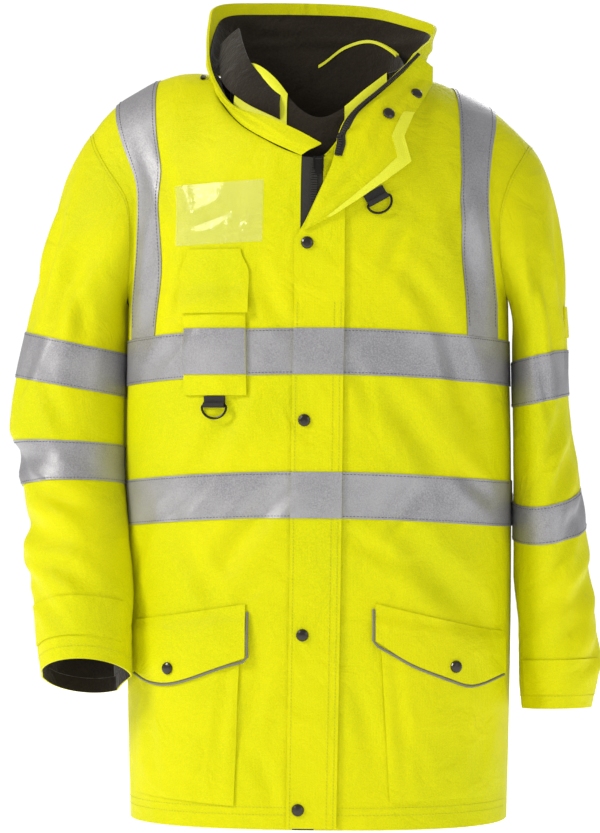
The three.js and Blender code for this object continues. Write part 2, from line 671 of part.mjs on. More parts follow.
const even = (count) => Array.from({ length: count + 1 }, (_, i) => i / count);
const hump = (t) => Math.sqrt(Math.max(0, Math.sin(Math.PI * t)));
const corners = (a, b, c, d) => (u, v) => ({
  x: mix(mix(a.x, b.x, u), mix(d.x, c.x, u), v),
  z: mix(mix(a.z, b.z, u), mix(d.z, c.z, u), v),
});

// Places a piece by its own axes: x along `across`, y along `up`, z out of the cloth.
function seated(geometry, origin, across, out) {
  const z = out.clone().normalize();
  const x = across.clone().addScaledVector(z, -across.dot(z)).normalize();
  const y = z.clone().cross(x);
  return geometry.applyMatrix4(new THREE.Matrix4().makeBasis(x, y, z).setPosition(origin));
}

// Snaps
const SNAP = 6.8;
function snapDome() {
  const rim = [[0, 0], [SNAP, 0], [SNAP, 1.1], [SNAP * 0.9, 2.3], [SNAP * 0.6, 3.3], [0, 3.7]];
  const dome = new THREE.LatheGeometry(rim.map(([r, y]) => new THREE.Vector2(r, y)), 14);
  return dome.rotateX(Math.PI / 2);
}

// Clear window pocket for a card
const WINDOW_SHEET = 0.8;
const windowPlace = corners({ x: -150, z: -126 }, { x: -48, z: -121 }, { x: -49, z: -188 }, { x: -145, z: -192 });
const windowPocket = patch(windowPlace, () => LYING, WINDOW_SHEET, even(9), even(5));
add('id_window', sheet(windowPocket.outer, windowPocket.inner), 0xd9dd9a, 0.12);

// Phone pocket: it stands over the upper body tape, and carries tape of its own
const PHONE_PUFF = 4;
const phone = { left: -136, right: -67, top: -258, bottom: -354 };
const phonePlace = corners({ x: phone.left, z: phone.top }, { x: phone.right, z: phone.top },
  { x: phone.right + 1, z: phone.bottom }, { x: phone.left + 1, z: phone.bottom });
const phoneLevels = [phone.top, -270, UPPER_TAPE_TOP, -306, UPPER_TAPE_TOP - TAPE_WIDTH, -344, phone.bottom];
const phoneDown = phoneLevels.map((z) => (phone.top - z) / (phone.top - phone.bottom));
const phoneLift = (u, v) => FLAP_LIFT + PHONE_PUFF * hump(u) * hump(0.12 + v * 0.88);
const phonePocket = patch(phonePlace, phoneLift, FLAP_CLOTH, even(7), phoneDown);
add('phone_pocket', sheet(phonePocket.outer, phonePocket.inner), YELLOW);
const onPhone = (extra) => (u, v) => phoneLift(u, v) + FLAP_CLOTH + extra;
const phoneTape = patch(phonePlace, onPhone(LYING), TAPE, even(7), phoneDown.slice(2, 5));
add('tape_phone_pocket', sheet(phoneTape.outer, phoneTape.inner), TAPE_GREY, 0.45);
const phoneFlap = { top: -196, shoulder: -222, bottom: -265, half: 29, wide: 38, middle: -101.5 };
const phoneFlapDown = [0, 0.2, 0.38, 0.6, 0.82, 1];
function phoneFlapPlace(u, v) {
  const z = mix(phoneFlap.top, phoneFlap.bottom, v);
  const half = mix(phoneFlap.half, phoneFlap.wide, smooth(phoneFlap.top, phoneFlap.shoulder, z));
  return { x: phoneFlap.middle + half * (2 * u - 1), z };
}
function phoneFlapLift(u, v) {
  const z = mix(phoneFlap.top, phoneFlap.bottom, v);
  const over = 1 - smooth(phone.top - 2, phone.top + 28, z);
  return LYING + over * (FLAP_LIFT + FLAP_CLOTH + LYING + PHONE_PUFF * hump(0.1 + 0.8 * u) * 0.75);
}
const phoneFlapPatch = patch(phoneFlapPlace, phoneFlapLift, FLAP_CLOTH, even(7), phoneFlapDown);
add('phone_flap', sheet(phoneFlapPatch.outer, phoneFlapPatch.inner), YELLOW);

// Lower pockets with pointed flaps, piped along the free edges
const POCKET_PUFF = 3;
const lowerPockets = {
  right: {
    top: [{ x: -72, z: -604 }, { x: -190, z: -618 }],
    bottom: [{ x: -80, z: -797 }, { x: -194, z: -790 }],
    flapTop: [{ x: -67, z: -579 }, { x: -194, z: -600 }],
    snap: { u: 0.66, v: 0.79 },
    point: [{ u: 0, z: -637 }, { u: 0.24, z: -648 }, { u: 0.62, z: -665 }, { u: 0.84, z: -665 }, { u: 1, z: -656 }],
  },
  left: {
    top: [{ x: 78, z: -604 }, { x: 202, z: -626 }],
    bottom: [{ x: 88, z: -792 }, { x: 202, z: -790 }],
    flapTop: [{ x: 73, z: -578 }, { x: 206, z: -612 }],
    snap: { u: 0.617, v: 0.76 },
    point: [{ u: 0, z: -618 }, { u: 0.26, z: -641 }, { u: 0.55, z: -658 }, { u: 0.74, z: -667 }, { u: 1, z: -657 }],
  },
};
const pocketAcross = [0, 0.12, 0.27, 0.42, 0.56, 0.68, 0.78, 0.87, 0.94, 1];
const PIPING = 1.5;
for (const side of ['right', 'left']) {
  const cut = lowerPockets[side];
  const place = corners(cut.top[0], cut.top[1], cut.bottom[1], cut.bottom[0]);
  const lift = (u, v) => LYING + POCKET_PUFF * hump(u) * hump(v);
  const bag = patch(place, lift, FLAP_CLOTH, pocketAcross, even(7));
  add(`pocket_${side}`, sheet(bag.outer, bag.inner), YELLOW);
  const flapPlace = (u, v) => {
    const x = mix(cut.flapTop[0].x, cut.flapTop[1].x, u);
    const top = mix(cut.flapTop[0].z, cut.flapTop[1].z, u);
    return { x, z: mix(top, between(cut.point, 'u', u, 'z'), v) };
  };
  const flapLift = (u, v) => {
    const at = flapPlace(u, v);
    const start = mix(cut.top[0].z, cut.top[1].z, u);
    const over = smooth(start + 16, start + 3, at.z);
    const down = clamp((start - at.z) / 180, 0, 1);
    return LYING + over * (FLAP_CLOTH + LYING + POCKET_PUFF * Math.max(hump(u), 0.35) * hump(0.08 + down));
  };
  const flap = patch(flapPlace, flapLift, FLAP_CLOTH, pocketAcross, even(5));
  add(`pocket_flap_${side}`, sheet(flap.outer, flap.inner), YELLOW);
  const edge = (u, v, away) => {
    const at = flapPlace(u, v);
    return onFront(at.x + away.x, at.z + away.z, flapLift(u, v) + FLAP_CLOTH / 2);
  };
  const stand = PIPING + LYING;
  const inward = side === 'right' ? 1 : -1;
  const route = [0.15, 0.5, 0.85].map((v) => edge(0, v, { x: inward * stand, z: 0 }));
  route.push(edge(0, 1, { x: inward * stand * 0.9, z: -stand * 0.9 }));
  for (const u of [0.14, 0.3, 0.46, 0.6, 0.72, 0.82, 0.91, 0.99]) {
    route.push(edge(u, 1, { x: 0, z: -stand * 1.05 }));
  }
  const section = new THREE.Shape(Array.from({ length: 6 }, (_, i) => new THREE.Vector2(
    PIPING * Math.cos(i * Math.PI / 3), PIPING * Math.sin(i * Math.PI / 3))));
  const extrudePath = new THREE.CatmullRomCurve3(route);
  const cord = new THREE.ExtrudeGeometry(section, { steps: 26, bevelEnabled: false, extrudePath });
  add(`piping_${side}`, cord, PIPING_GREY, 0.6);
  const at = flapPlace(cut.snap.u, cut.snap.v);
  const seat = onFront(at.x, at.z, flapLift(cut.snap.u, cut.snap.v) + FLAP_CLOTH + SEAM);
  add(`snap_pocket_${side}`, seated(snapDome(), seat, vec(1, 0, 0), frontNormal(at.x, at.z)), DARK_METAL, 0.3, 0.6);
}

const flapSnaps = { top: { x: 0, z: -190 }, chest: { x: -3, z: -381 }, waist: { x: -5, z: -612 }, hem: { x: -10, z: -800 } };
for (const [name, at] of Object.entries(flapSnaps)) {
  const origin = onFront(at.x, at.z, FLAP_FACE + SEAM);
  add(`snap_${name}`, seated(snapDome(), origin, vec(1, 0, 0), frontNormal(at.x, at.z)), DARK_METAL, 0.3, 0.6);
}
// Zip: the closed chain between the two fronts, its slider and its pull
const chainColumns = [-(RIGHT_EDGE - SEAM), 6, LEFT_EDGE - SEAM];
const chain = (lift) => bodyRows.map((row) => chainColumns.map((chest) => bodyPoint(chest, dippedRow(row, chest), false, lift)));
add('zip_chain', sheet(chain(-SEAM), chain(-CLOTH)), BLACK, 0.5);
const slider = { x: 12, z: -104, wide: 11, tall: 14, plate: 2.2, flange: 1.5, rise: 5 };
function sliderSection() {
  const { wide, plate, flange, rise } = slider;
  const inside = wide / 2 - flange;
  const shape = new THREE.Shape();
  shape.moveTo(-wide / 2, 0);
  shape.lineTo(wide / 2, 0);
  shape.lineTo(wide / 2, rise);
  shape.lineTo(inside, rise);
  shape.lineTo(inside, plate);
  shape.lineTo(-inside, plate);
  shape.lineTo(-inside, rise);
  shape.lineTo(-wide / 2, rise);
  shape.closePath();
  return new THREE.ExtrudeGeometry(shape, { depth: slider.tall, bevelEnabled: false });
}
const sliderOut = frontNormal(slider.x, slider.z);
const sliderSeat = onFront(slider.x, slider.z, SEAM);
const sliderBody = sliderSection().translate(0, 0, -slider.tall / 2).rotateX(Math.PI / 2);
add('zip_slider', seated(sliderBody, sliderSeat, vec(1, 0, 0), sliderOut), DARK_METAL, 0.35, 0.7);
const pull = { wide: 7.2, barrel: 1.3, long: 17, thick: 1.3, above: 4.5 };
function pullProfile() {
  const shape = new THREE.Shape();
  const start = Math.asin(pull.thick / 2 / pull.barrel);
  shape.moveTo(-pull.thick / 2, -pull.long);
  shape.lineTo(pull.thick / 2, -pull.long);
  shape.absarc(0, 0, pull.barrel, -Math.PI / 2 + start, Math.PI * 1.5 - start, false);
  shape.closePath();
  const body = new THREE.ExtrudeGeometry(shape, { depth: pull.wide, bevelEnabled: false, curveSegments: 10 });
  return body.translate(0, 0, -pull.wide / 2);
}
const pullHinge = sliderSeat.clone().addScaledVector(sliderOut, slider.plate + SEAM + pull.barrel);
pullHinge.addScaledVector(sliderOut.clone().cross(vec(1, 0, 0)).normalize(), pull.above);
add('zip_pull', seated(pullProfile().rotateY(-Math.PI / 2), pullHinge, vec(1, 0, 0), sliderOut), DARK_METAL, 0.35, 0.7);

// Webbing tabs with D-rings. The ring's straight bar turns in the webbing's fold.
const ring = { wire: 1.35, radius: 14, deep: 14.5, bend: 2.8, sides: 8 };
const tab = { wide: 24, hole: 1.8, fold: 3.0, layer: 2.4 };
function tabLoop(tail) {
  const shape = new THREE.Shape();
  const turn = Math.acos((tab.fold - tab.layer) / tab.fold);
  shape.moveTo(-tab.fold, tail);
  shape.lineTo(-tab.fold, 0);
  shape.absarc(0, 0, tab.fold, Math.PI, Math.PI * 3 - turn, false);
  shape.lineTo(-tab.fold + tab.layer, tail);
  shape.closePath();
  const bore = new THREE.Path();
  bore.absarc(0, 0, tab.hole, 0, Math.PI * 2, true);
  shape.holes.push(bore);
  const loop = new THREE.ExtrudeGeometry(shape, { depth: tab.wide, bevelEnabled: false, curveSegments: 8 });
  return loop.translate(0, 0, -tab.wide / 2).rotateY(-Math.PI / 2);
}
function closedTube(route, radius, sides) {
  const count = route.length;
  const middle = route.reduce((sum, p) => sum.add(p), vec(0, 0, 0)).multiplyScalar(1 / count);
  const rows = route.map((point, i) => {
    const along = route[(i + 1) % count].clone().sub(route[(i + count - 1) % count]).normalize();
    const flat = vec(0, 0, 1);
    const side = along.clone().cross(flat).normalize();
    if (side.dot(point.clone().sub(middle)) < 0) side.negate();
    return Array.from({ length: sides }, (_, k) => {
      const turn = (k / sides) * Math.PI * 2;
      return point.clone().addScaledVector(side, radius * Math.cos(turn)).addScaledVector(flat, radius * Math.sin(turn));
    });
  });
  const solid = new Solid();
  const a = solid.grid(rows);
  a.forEach((row, i) => row.forEach((_, k) => {
    const next = a[(i + 1) % count];
    const m = (k + 1) % sides;
    solid.quad(row[k], row[m], next[m], next[k]);
  }));
  return solid.geometry();
}
function dRing() {
  const inside = ring.radius - ring.bend;
  const corner = (side, from, to) => Array.from({ length: 4 }, (_, i) => {
    const turn = mix(from, to, i / 3);
    return vec(side * inside + ring.bend * Math.cos(turn), ring.bend * (Math.sin(turn) - 1), 0);
  });
  const bow = Array.from({ length: 11 }, (_, i) => {
    const turn = ((i + 1) / 12) * Math.PI;
    return vec(ring.radius * Math.cos(turn), -ring.bend - (ring.deep - ring.bend) * Math.sin(turn), 0);
  });
  const route = corner(1, Math.PI / 2, 0).concat(bow, corner(-1, Math.PI, Math.PI / 2), [vec(0, 0, 0)]);
  return closedTube(route, ring.wire, ring.sides);
}
// `x`, `z` is the middle of the bar; `turn` tilts the bar up towards the wearer's left.
const ringTabs = {
  pocket: { x: -101, z: -364.5, turn: 0, tail: 9.8 },
  chest: { x: 75, z: -144, turn: 29, tail: 12 },
};
for (const [name, at] of Object.entries(ringTabs)) {
  const turn = THREE.MathUtils.degToRad(at.turn);
  const out = frontNormal(at.x, at.z);
  const across = vec(Math.cos(turn), 0, Math.sin(turn));
  const origin = onFront(at.x, at.z, LYING + tab.fold + 0.2);
  add(`ring_tab_${name}`, seated(tabLoop(at.tail), origin, across, out), BLACK, 0.85);
  add(`d_ring_${name}`, seated(dRing(), origin, across, out), DARK_METAL, 0.35, 0.7);
}

// Stand collar. Each station is a place on the neck seam and the point of the
// collar's top edge that stands over it.
const collarTops = [
  { side: 'right', chest: RIGHT_EDGE, back: false, x: 15, y: -152, z: -83 },
  { side: 'right', chest: 42, back: false, x: -12, y: -148, z: -68 },
  { side: 'right', chest: 70, back: false, x: -45, y: -137, z: -53 },
  { side: 'right', chest: 98, back: false, x: -84, y: -108, z: -38 },
  { side: 'right', chest: 116, back: false, x: -108, y: -74, z: -12 },
  { side: 'right', chest: NECK_POINT, back: false, x: -121, y: -44, z: 22 },
  { side: 'right', chest: 98, back: true, x: -126, y: 10, z: 66 },
  { side: 'right', chest: 70, back: true, x: -120, y: 46, z: 90 },
  { side: 'right', chest: 35, back: true, x: -72, y: 80, z: 97 },
  { side: 'left', chest: 0, back: true, x: 0, y: 94, z: 97 },
  { side: 'left', chest: 35, back: true, x: 60, y: 88, z: 91 },
  { side: 'left', chest: 70, back: true, x: 104, y: 62, z: 76 },
  { side: 'left', chest: 98, back: true, x: 130, y: 28, z: 62 },
  { side: 'left', chest: NECK_POINT, back: false, x: 128, y: -12, z: 44 },
  { side: 'left', chest: 98, back: false, x: 120, y: -40, z: 32 },
  { side: 'left', chest: 70, back: false, x: 112, y: -57, z: 22 },
];
const collarShares = [0, 0.28, 0.56, 0.84, 1];
const COLLAR_ROLL = 4;
function neckSeam(station) {
  const chest = station.side === 'right' ? -station.chest : station.chest;
  const point = bodyPoint(chest, YOKE_RISE, station.back);
  const below = formPoint(chest, YOKE_RISE - 3, station.back);
  const up = formPoint(chest, YOKE_RISE, station.back).sub(below).normalize();
  return point.addScaledVector(bodyNormal(chest, YOKE_RISE, station.back), SEAM * 1.5).addScaledVector(up, SEAM * 1.5);
}
const collarGrid = collarShares.map((share) => collarTops.map((station) => {
  const base = neckSeam(station);
  const away = vec(base.x, base.y + 30, 0).normalize();
  const point = base.lerp(vec(station.x, station.y, station.z), share);
  return point.addScaledVector(away, COLLAR_ROLL * Math.sin(Math.PI * share));
}));
function gridNormals(grid, facing) {
  return grid.map((row, i) => row.map((point, j) => {
    const a = row[Math.max(0, j - 1)];
    const b = row[Math.min(row.length - 1, j + 1)];
    const c = grid[Math.max(0, i - 1)][j];
    const d = grid[Math.min(grid.length - 1, i + 1)][j];
    return b.clone().sub(a).cross(d.clone().sub(c)).multiplyScalar(facing).normalize();
  }));
}
const collarNormals = gridNormals(collarGrid, -1);
add('collar', sheet(collarGrid, moved(collarGrid, collarNormals, -COLLAR_CLOTH)), YELLOW);
const liningPart = (grid) => grid.slice(0, 4).map((row) => row.slice(1, -1));
const liningPoints = liningPart(collarGrid);
const liningNormals = liningPart(collarNormals);
add('collar_lining', sheet(moved(liningPoints, liningNormals, -COLLAR_CLOTH - SEAM),
  moved(liningPoints, liningNormals, -COLLAR_CLOTH - SEAM - LINING)), BLACK, 0.9);

// Turned-back top of the storm flap: from its fold line to its free edge
const LAPEL_LIFT = FLAP_FACE + LYING + 0.3;
const lapelRows = [
  { fold: { x: -4, z: -177 }, free: { x: 3, z: -174 } },
  { fold: { x: 4, z: -157 }, free: { x: 28, z: -161 } },
  { fold: { x: 14, z: -133 }, free: { x: 57, z: -142 } },
  { fold: { x: 24.5, z: -107 }, free: { x: 86, z: -121 } },
  { fold: { x: 30, z: -84 }, free: { x: 108, z: -103 } },
  { fold: { x: 33, z: -70 }, free: { x: 100, z: -76 } },
  { fold: { x: 42, y: -139, z: -54 }, free: { x: 108, z: -53 } },
  { fold: { x: 70, y: -107, z: -25 }, free: { x: 122, z: -29 } },
  { fold: { x: 94, y: -82, z: 1 }, free: { x: 129, y: -52, z: -12 } },
  { fold: { x: 112, y: -62, z: 21 }, free: { x: 129, y: -47, z: 8 } },
];
const lapelEdge = ({ x, y, z }) => (y === undefined ? onFront(x, z, LAPEL_LIFT) : vec(x, y, z));
const lapelGrid = lapelRows.map((row) => even(5).map((share) => {
  const point = lapelEdge(row.fold).lerp(lapelEdge(row.free), share);
  const place = placeOnFront(point.x, point.z);
  const under = bodyPoint(place.chest, place.row, false, LAPEL_LIFT);
  const seen = formPoint(place.chest, place.row, false);
  const over = Math.abs(seen.x - point.x) + Math.abs(seen.z - point.z) < 1;
  return over && under.y < point.y ? under : point;
}));
const lapelNormals = gridNormals(lapelGrid, 1);
add('lapel', sheet(moved(lapelGrid, lapelNormals, CLOTH), lapelGrid), YELLOW);
const lapelSnaps = { upper: { row: 7, share: 4 }, lower: { row: 6, share: 3 } };
for (const [name, at] of Object.entries(lapelSnaps)) {
  const out = lapelNormals[at.row][at.share];
  const origin = lapelGrid[at.row][at.share].clone().addScaledVector(out, CLOTH + LYING);
  add(`snap_lapel_${name}`, seated(snapDome(), origin, vec(1, 0, 0), out), DARK_METAL, 0.3, 0.6);
}

// Pull of the hood zip, on the collar's outside at the wearer's right
const hoodPull = { chest: -133, row: 170, wide: 6, tall: 13, thick: 2.6 };
const hoodSeat = bodyPoint(hoodPull.chest, hoodPull.row, false, hoodPull.thick / 2 - 0.1);
const hoodOut = bodyNormal(hoodPull.chest, hoodPull.row, false);
const hoodShape = new THREE.CapsuleGeometry(hoodPull.wide / 2, hoodPull.tall - hoodPull.wide, 3, 8);
hoodShape.scale(1, 1, hoodPull.thick / hoodPull.wide);
add('hood_pull', seated(hoodShape, hoodSeat, vec(1, 0, 0), hoodOut), BLACK, 0.5);

// Top of the body warmer inside: its front with two facings, and its back
const warmerFront = [
  { x: -84, y: -60, z: 2, low: -92 },
  { x: -62, y: -82, z: -4, low: -66 },
  { x: -40, y: -98, z: -18, low: -38 },
  { x: -14, y: -111, z: -40, low: -12 },
  { x: 10, y: -114, z: -52, low: 12 },
  { x: 34, y: -104, z: -42, low: 38 },
  { x: 58, y: -86, z: -20, low: 64 },
  { x: 80, y: -62, z: 0, low: 88 },
];
const WARMER_LOW = -205;
const warmerHem = (column) => onFront(column.low, WARMER_LOW, -CLOTH - LYING - SEAM);
const warmerGrid = [0, 0.14, 0.28, 0.6, 1].map((share) => warmerFront.map((column) => vec(
  mix(column.x, column.low, share), mix(column.y, warmerHem(column).y, share ** 0.7), mix(column.z, WARMER_LOW, share))));
const warmerNormals = gridNormals(warmerGrid, -1);
add('warmer_front', sheet(warmerGrid, moved(warmerGrid, warmerNormals, -CLOTH)), BLACK, 0.95);
for (const [side, from, to] of [['right', 0, 4], ['left', 5, 8]]) {
  const part = (grid) => grid.slice(0, 3).map((row) => row.slice(from, to));
  add(`facing_${side}`, sheet(moved(part(warmerGrid), part(warmerNormals), LYING + TAPE),
    moved(part(warmerGrid), part(warmerNormals), LYING)), YELLOW);
}
const warmerBack = [
  { x: -84.6, y: -59.3, z: 2 }, { x: -95, y: -24, z: 10 }, { x: -92, y: 16, z: 22 }, { x: -76, y: 42, z: 30 }, { x: -44, y: 64, z: 26 },
  { x: -10, y: 71, z: 22 }, { x: 24, y: 69, z: 44 }, { x: 54, y: 59, z: 50 }, { x: 80, y: 36, z: 36 },
  { x: 93, y: 4, z: 18 }, { x: 90, y: -30, z: 8 }, { x: 80.7, y: -61.3, z: 0.7 },
];
const WARMER_BACK_LOW = -62;
const warmerBackGrid = [0, 0.5, 1].map((share) => warmerBack.map((column) => vec(
  column.x, column.y, mix(column.z, WARMER_BACK_LOW, share))));
const warmerBackNormals = gridNormals(warmerBackGrid, -1);
add('warmer_back', sheet(warmerBackGrid, moved(warmerBackGrid, warmerBackNormals, -CLOTH)), BLACK, 0.95);

export default jacket;
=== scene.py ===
"""A hi-vis work parka, filled out as it is worn, dressed for rendering.

The tables are in millimetres. The front faces -Y, the wearer's left is +X, up
is +Z, and the origin is the middle of the neck base. Every piece is a thin
closed shell on the form of its solid, with its creases listed one by one.
"""

import logging
import math
from dataclasses import dataclass
from enum import Enum
from typing import Callable, Sequence

import bpy
import numpy as np
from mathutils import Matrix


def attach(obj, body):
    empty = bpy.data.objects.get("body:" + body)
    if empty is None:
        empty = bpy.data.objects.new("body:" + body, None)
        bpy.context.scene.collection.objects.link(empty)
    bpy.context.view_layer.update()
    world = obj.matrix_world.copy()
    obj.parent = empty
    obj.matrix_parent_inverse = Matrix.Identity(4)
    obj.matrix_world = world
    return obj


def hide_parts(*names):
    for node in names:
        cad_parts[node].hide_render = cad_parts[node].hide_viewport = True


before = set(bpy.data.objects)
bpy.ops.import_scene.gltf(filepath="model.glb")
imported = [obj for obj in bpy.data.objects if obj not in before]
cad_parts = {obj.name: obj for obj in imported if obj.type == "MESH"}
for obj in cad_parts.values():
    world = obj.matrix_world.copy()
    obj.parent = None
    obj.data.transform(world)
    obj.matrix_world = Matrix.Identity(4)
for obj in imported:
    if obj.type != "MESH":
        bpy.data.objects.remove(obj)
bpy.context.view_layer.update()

log = logging.getLogger("jacket")
MM = 0.001
Array = np.ndarray
Creases = Sequence[tuple[float, float, float, float, float, float]]


class Side(Enum):
    """The wearer's side: the sign of X on it."""

    RIGHT = -1
    LEFT = 1

    @property
    def word(self) -> str:
        """The side's word in the names of pieces."""
        return self.name.lower()


class Table:
    """Rows of named columns, read at any place of the first column on a smooth curve."""

    def __init__(self, columns: str, *rows: tuple[float, ...]) -> None:
        """Keeps the columns.

        Args:
            columns: the columns' names, the key first.
            rows: the rows, in rising order of the key.
        """
        values = np.array(rows, float)
        self.key = values[:, 0]
        self.columns = {name: values[:, i] for i, name in enumerate(columns.split())}

    def at(self, name: str, place: Array) -> Array:
        """Reads a column between its rows.

        Args:
            name: the column.
            place: places of the key, held inside the table.

        Returns:
            The column's values there.
        """
        key, value = self.key, self.columns[name]
        last = len(key) - 1
        above, below = np.minimum(np.arange(last + 1) + 1, last), np.maximum(np.arange(last + 1) - 1, 0)
        slope = (value[above] - value[below]) / (key[above] - key[below])
        i = np.minimum(np.searchsorted(key[1:], place, side="left"), last - 1)
        run = key[i + 1] - key[i]
        t = np.clip((place - key[i]) / run, 0, 1)
        t2, t3 = t * t, t * t * t
        start = (2 * t3 - 3 * t2 + 1) * value[i] + (t3 - 2 * t2 + t) * run * slope[i]
        return start + (3 * t2 - 2 * t3) * value[i + 1] + (t3 - t2) * run * slope[i + 1]

    def path(self, place: Array) -> Array:
        """Reads the columns x, y and z as points."""
        return np.stack([self.at(name, place) for name in "xyz"], axis=-1)


def mix(a: Array, b: Array, share: Array) -> Array:
    """Goes from a to b by share."""
    return a + (b - a) * share


def smooth(low: float, high: float, value: Array) -> Array:
    """A soft step from 0 at low to 1 at high."""
    t = np.clip((value - low) / (high - low), 0, 1)
    return t * t * (3 - 2 * t)


def points(x: Array, y: Array, z: Array) -> Array:
    """Stacks three coordinates into points."""
    return np.stack(np.broadcast_arrays(x, y, z), axis=-1).astype(float)


def flat_map(width: float, height: float, columns: int, rows: int) -> Array:
    """The map of a rectangular cut, in millimetres, with its counts of columns and rows."""
    return np.stack(np.meshgrid(np.linspace(0, width, columns), np.linspace(0, height, rows)), axis=-1)


def unit(vectors: Array) -> Array:
    """Brings vectors to length one."""
    return vectors / np.maximum(np.linalg.norm(vectors, axis=-1, keepdims=True), 1e-9)


def crease_depth(creases: Creases, across: Array, along: Array) -> Array:
    """Depth of soft creases: a trough with a low ridge on each side.

    Args:
        creases: rows of across, along, reach, width, turn in degrees from upright, and depth.
        across: places across the cloth.
        along: places along the cloth.

    Returns:
        How far the cloth is pressed in there.
    """
    depth = np.zeros(np.broadcast(across, along).shape)
    for middle, level, reach, width, turn, deep in creases:
        angle = math.radians(turn)
        dx, dz = across - middle, along - level
        run = (dx * math.sin(angle) + dz * math.cos(angle)) / reach
        bow = 0.5 * math.sin(middle * 0.7 + level * 0.3)
        side = (dx * math.cos(angle) - dz * math.sin(angle)) / width + bow * run * run
        ridge = np.exp(-(((np.abs(side) - 1.8) / 0.8) ** 2))
        depth += deep * np.exp(-run * run) * (np.exp(-side * side) - 0.38 * ridge)
    return depth


# Shared sizes in millimetres: cloth and tape thickness, the play at a sewn seam
# and under a laid piece, how far the storm flap's two faces stand off, and the
# body tapes' width and the heights of their upper edges
CLOTH = 2.0
FLAP_CLOTH = 1.8
TAPE = 1.0
SEAM = 0.3
LYING = 0.5
FLAP_LIFT = TAPE + 2 * SEAM
FLAP_FACE = FLAP_LIFT + CLOTH
TAPE_WIDTH = 50.0
TAPE_TOPS = {"upper": -281.6, "lower": -436.4}
LINING_CLOTH = 1.5
SHARP = math.radians(48)

# Creases of the fronts by x and z, and of the back: the first rows are the
# largest, the rest the small ones between them
FRONT_CREASES = (
    (-66, -500, 70, 13, 38, 3.0), (-96, -395, 55, 12, 30, 2.2), (118, -395, 60, 13, -32, 3.0),
    (168, -350, 62, 12, -18, 3.4), (150, -560, 75, 15, -40, 3.2), (-168, -215, 60, 11, 10, 3.4),
    (172, -205, 55, 11, -12, 2.8), (-138, -470, 48, 9, 52, 1.6), (-52, -560, 40, 8, 64, 1.3),
    (-120, -545, 52, 10, -28, 1.5), (70, -520, 44, 9, -60, 1.5), (104, -480, 36, 7, 34, 1.2),
    (182, -455, 46, 9, -50, 1.8), (62, -350, 34, 8, -20, 1.3), (-40, -250, 38, 9, -24, 1.3),
    (-150, -300, 40, 8, 44, 1.5), (128, -250, 50, 10, -34, 1.8), (96, -190, 34, 8, 24, 1.2),
    (-60, -690, 52, 10, 14, 1.4), (-44, -770, 34, 8, -22, 1.1), (62, -700, 46, 9, -12, 1.4),
    (160, -150, 40, 9, 20, 1.6), (-160, -120, 44, 9, -22, 1.8), (-190, -520, 40, 8, 16, 1.6),
    (192, -600, 44, 8, -14, 1.5), (-100, -160, 32, 7, 66, 0.8),
)
BACK_CREASES = (
    (-120, -380, 75, 14, 28, 3.0), (96, -400, 70, 13, -34, 2.8), (10, -600, 95, 17, 12, 3.0),
    (-176, -205, 60, 11, 12, 3.2), (176, -215, 60, 11, -10, 3.2), (-60, -520, 52, 10, 46, 1.8),
    (70, -545, 48, 9, -52, 1.6), (-30, -330, 40, 10, -30, 1.4), (40, -250, 56, 12, 22, 1.8),
    (-90, -240, 48, 10, -26, 1.6), (120, -640, 60, 12, 30, 1.9), (-140, -660, 58, 11, -24, 1.9),
    (-20, -740, 44, 10, 30, 1.4), (84, -745, 40, 9, -20, 1.3), (150, -480, 46, 9, 48, 1.6),
    (-160, -500, 44, 9, -46, 1.7), (0, -120, 60, 14, 80, 1.3), (-70, -60, 40, 11, 62, 1.2),
    (74, -66, 40, 11, -62, 1.2),
)


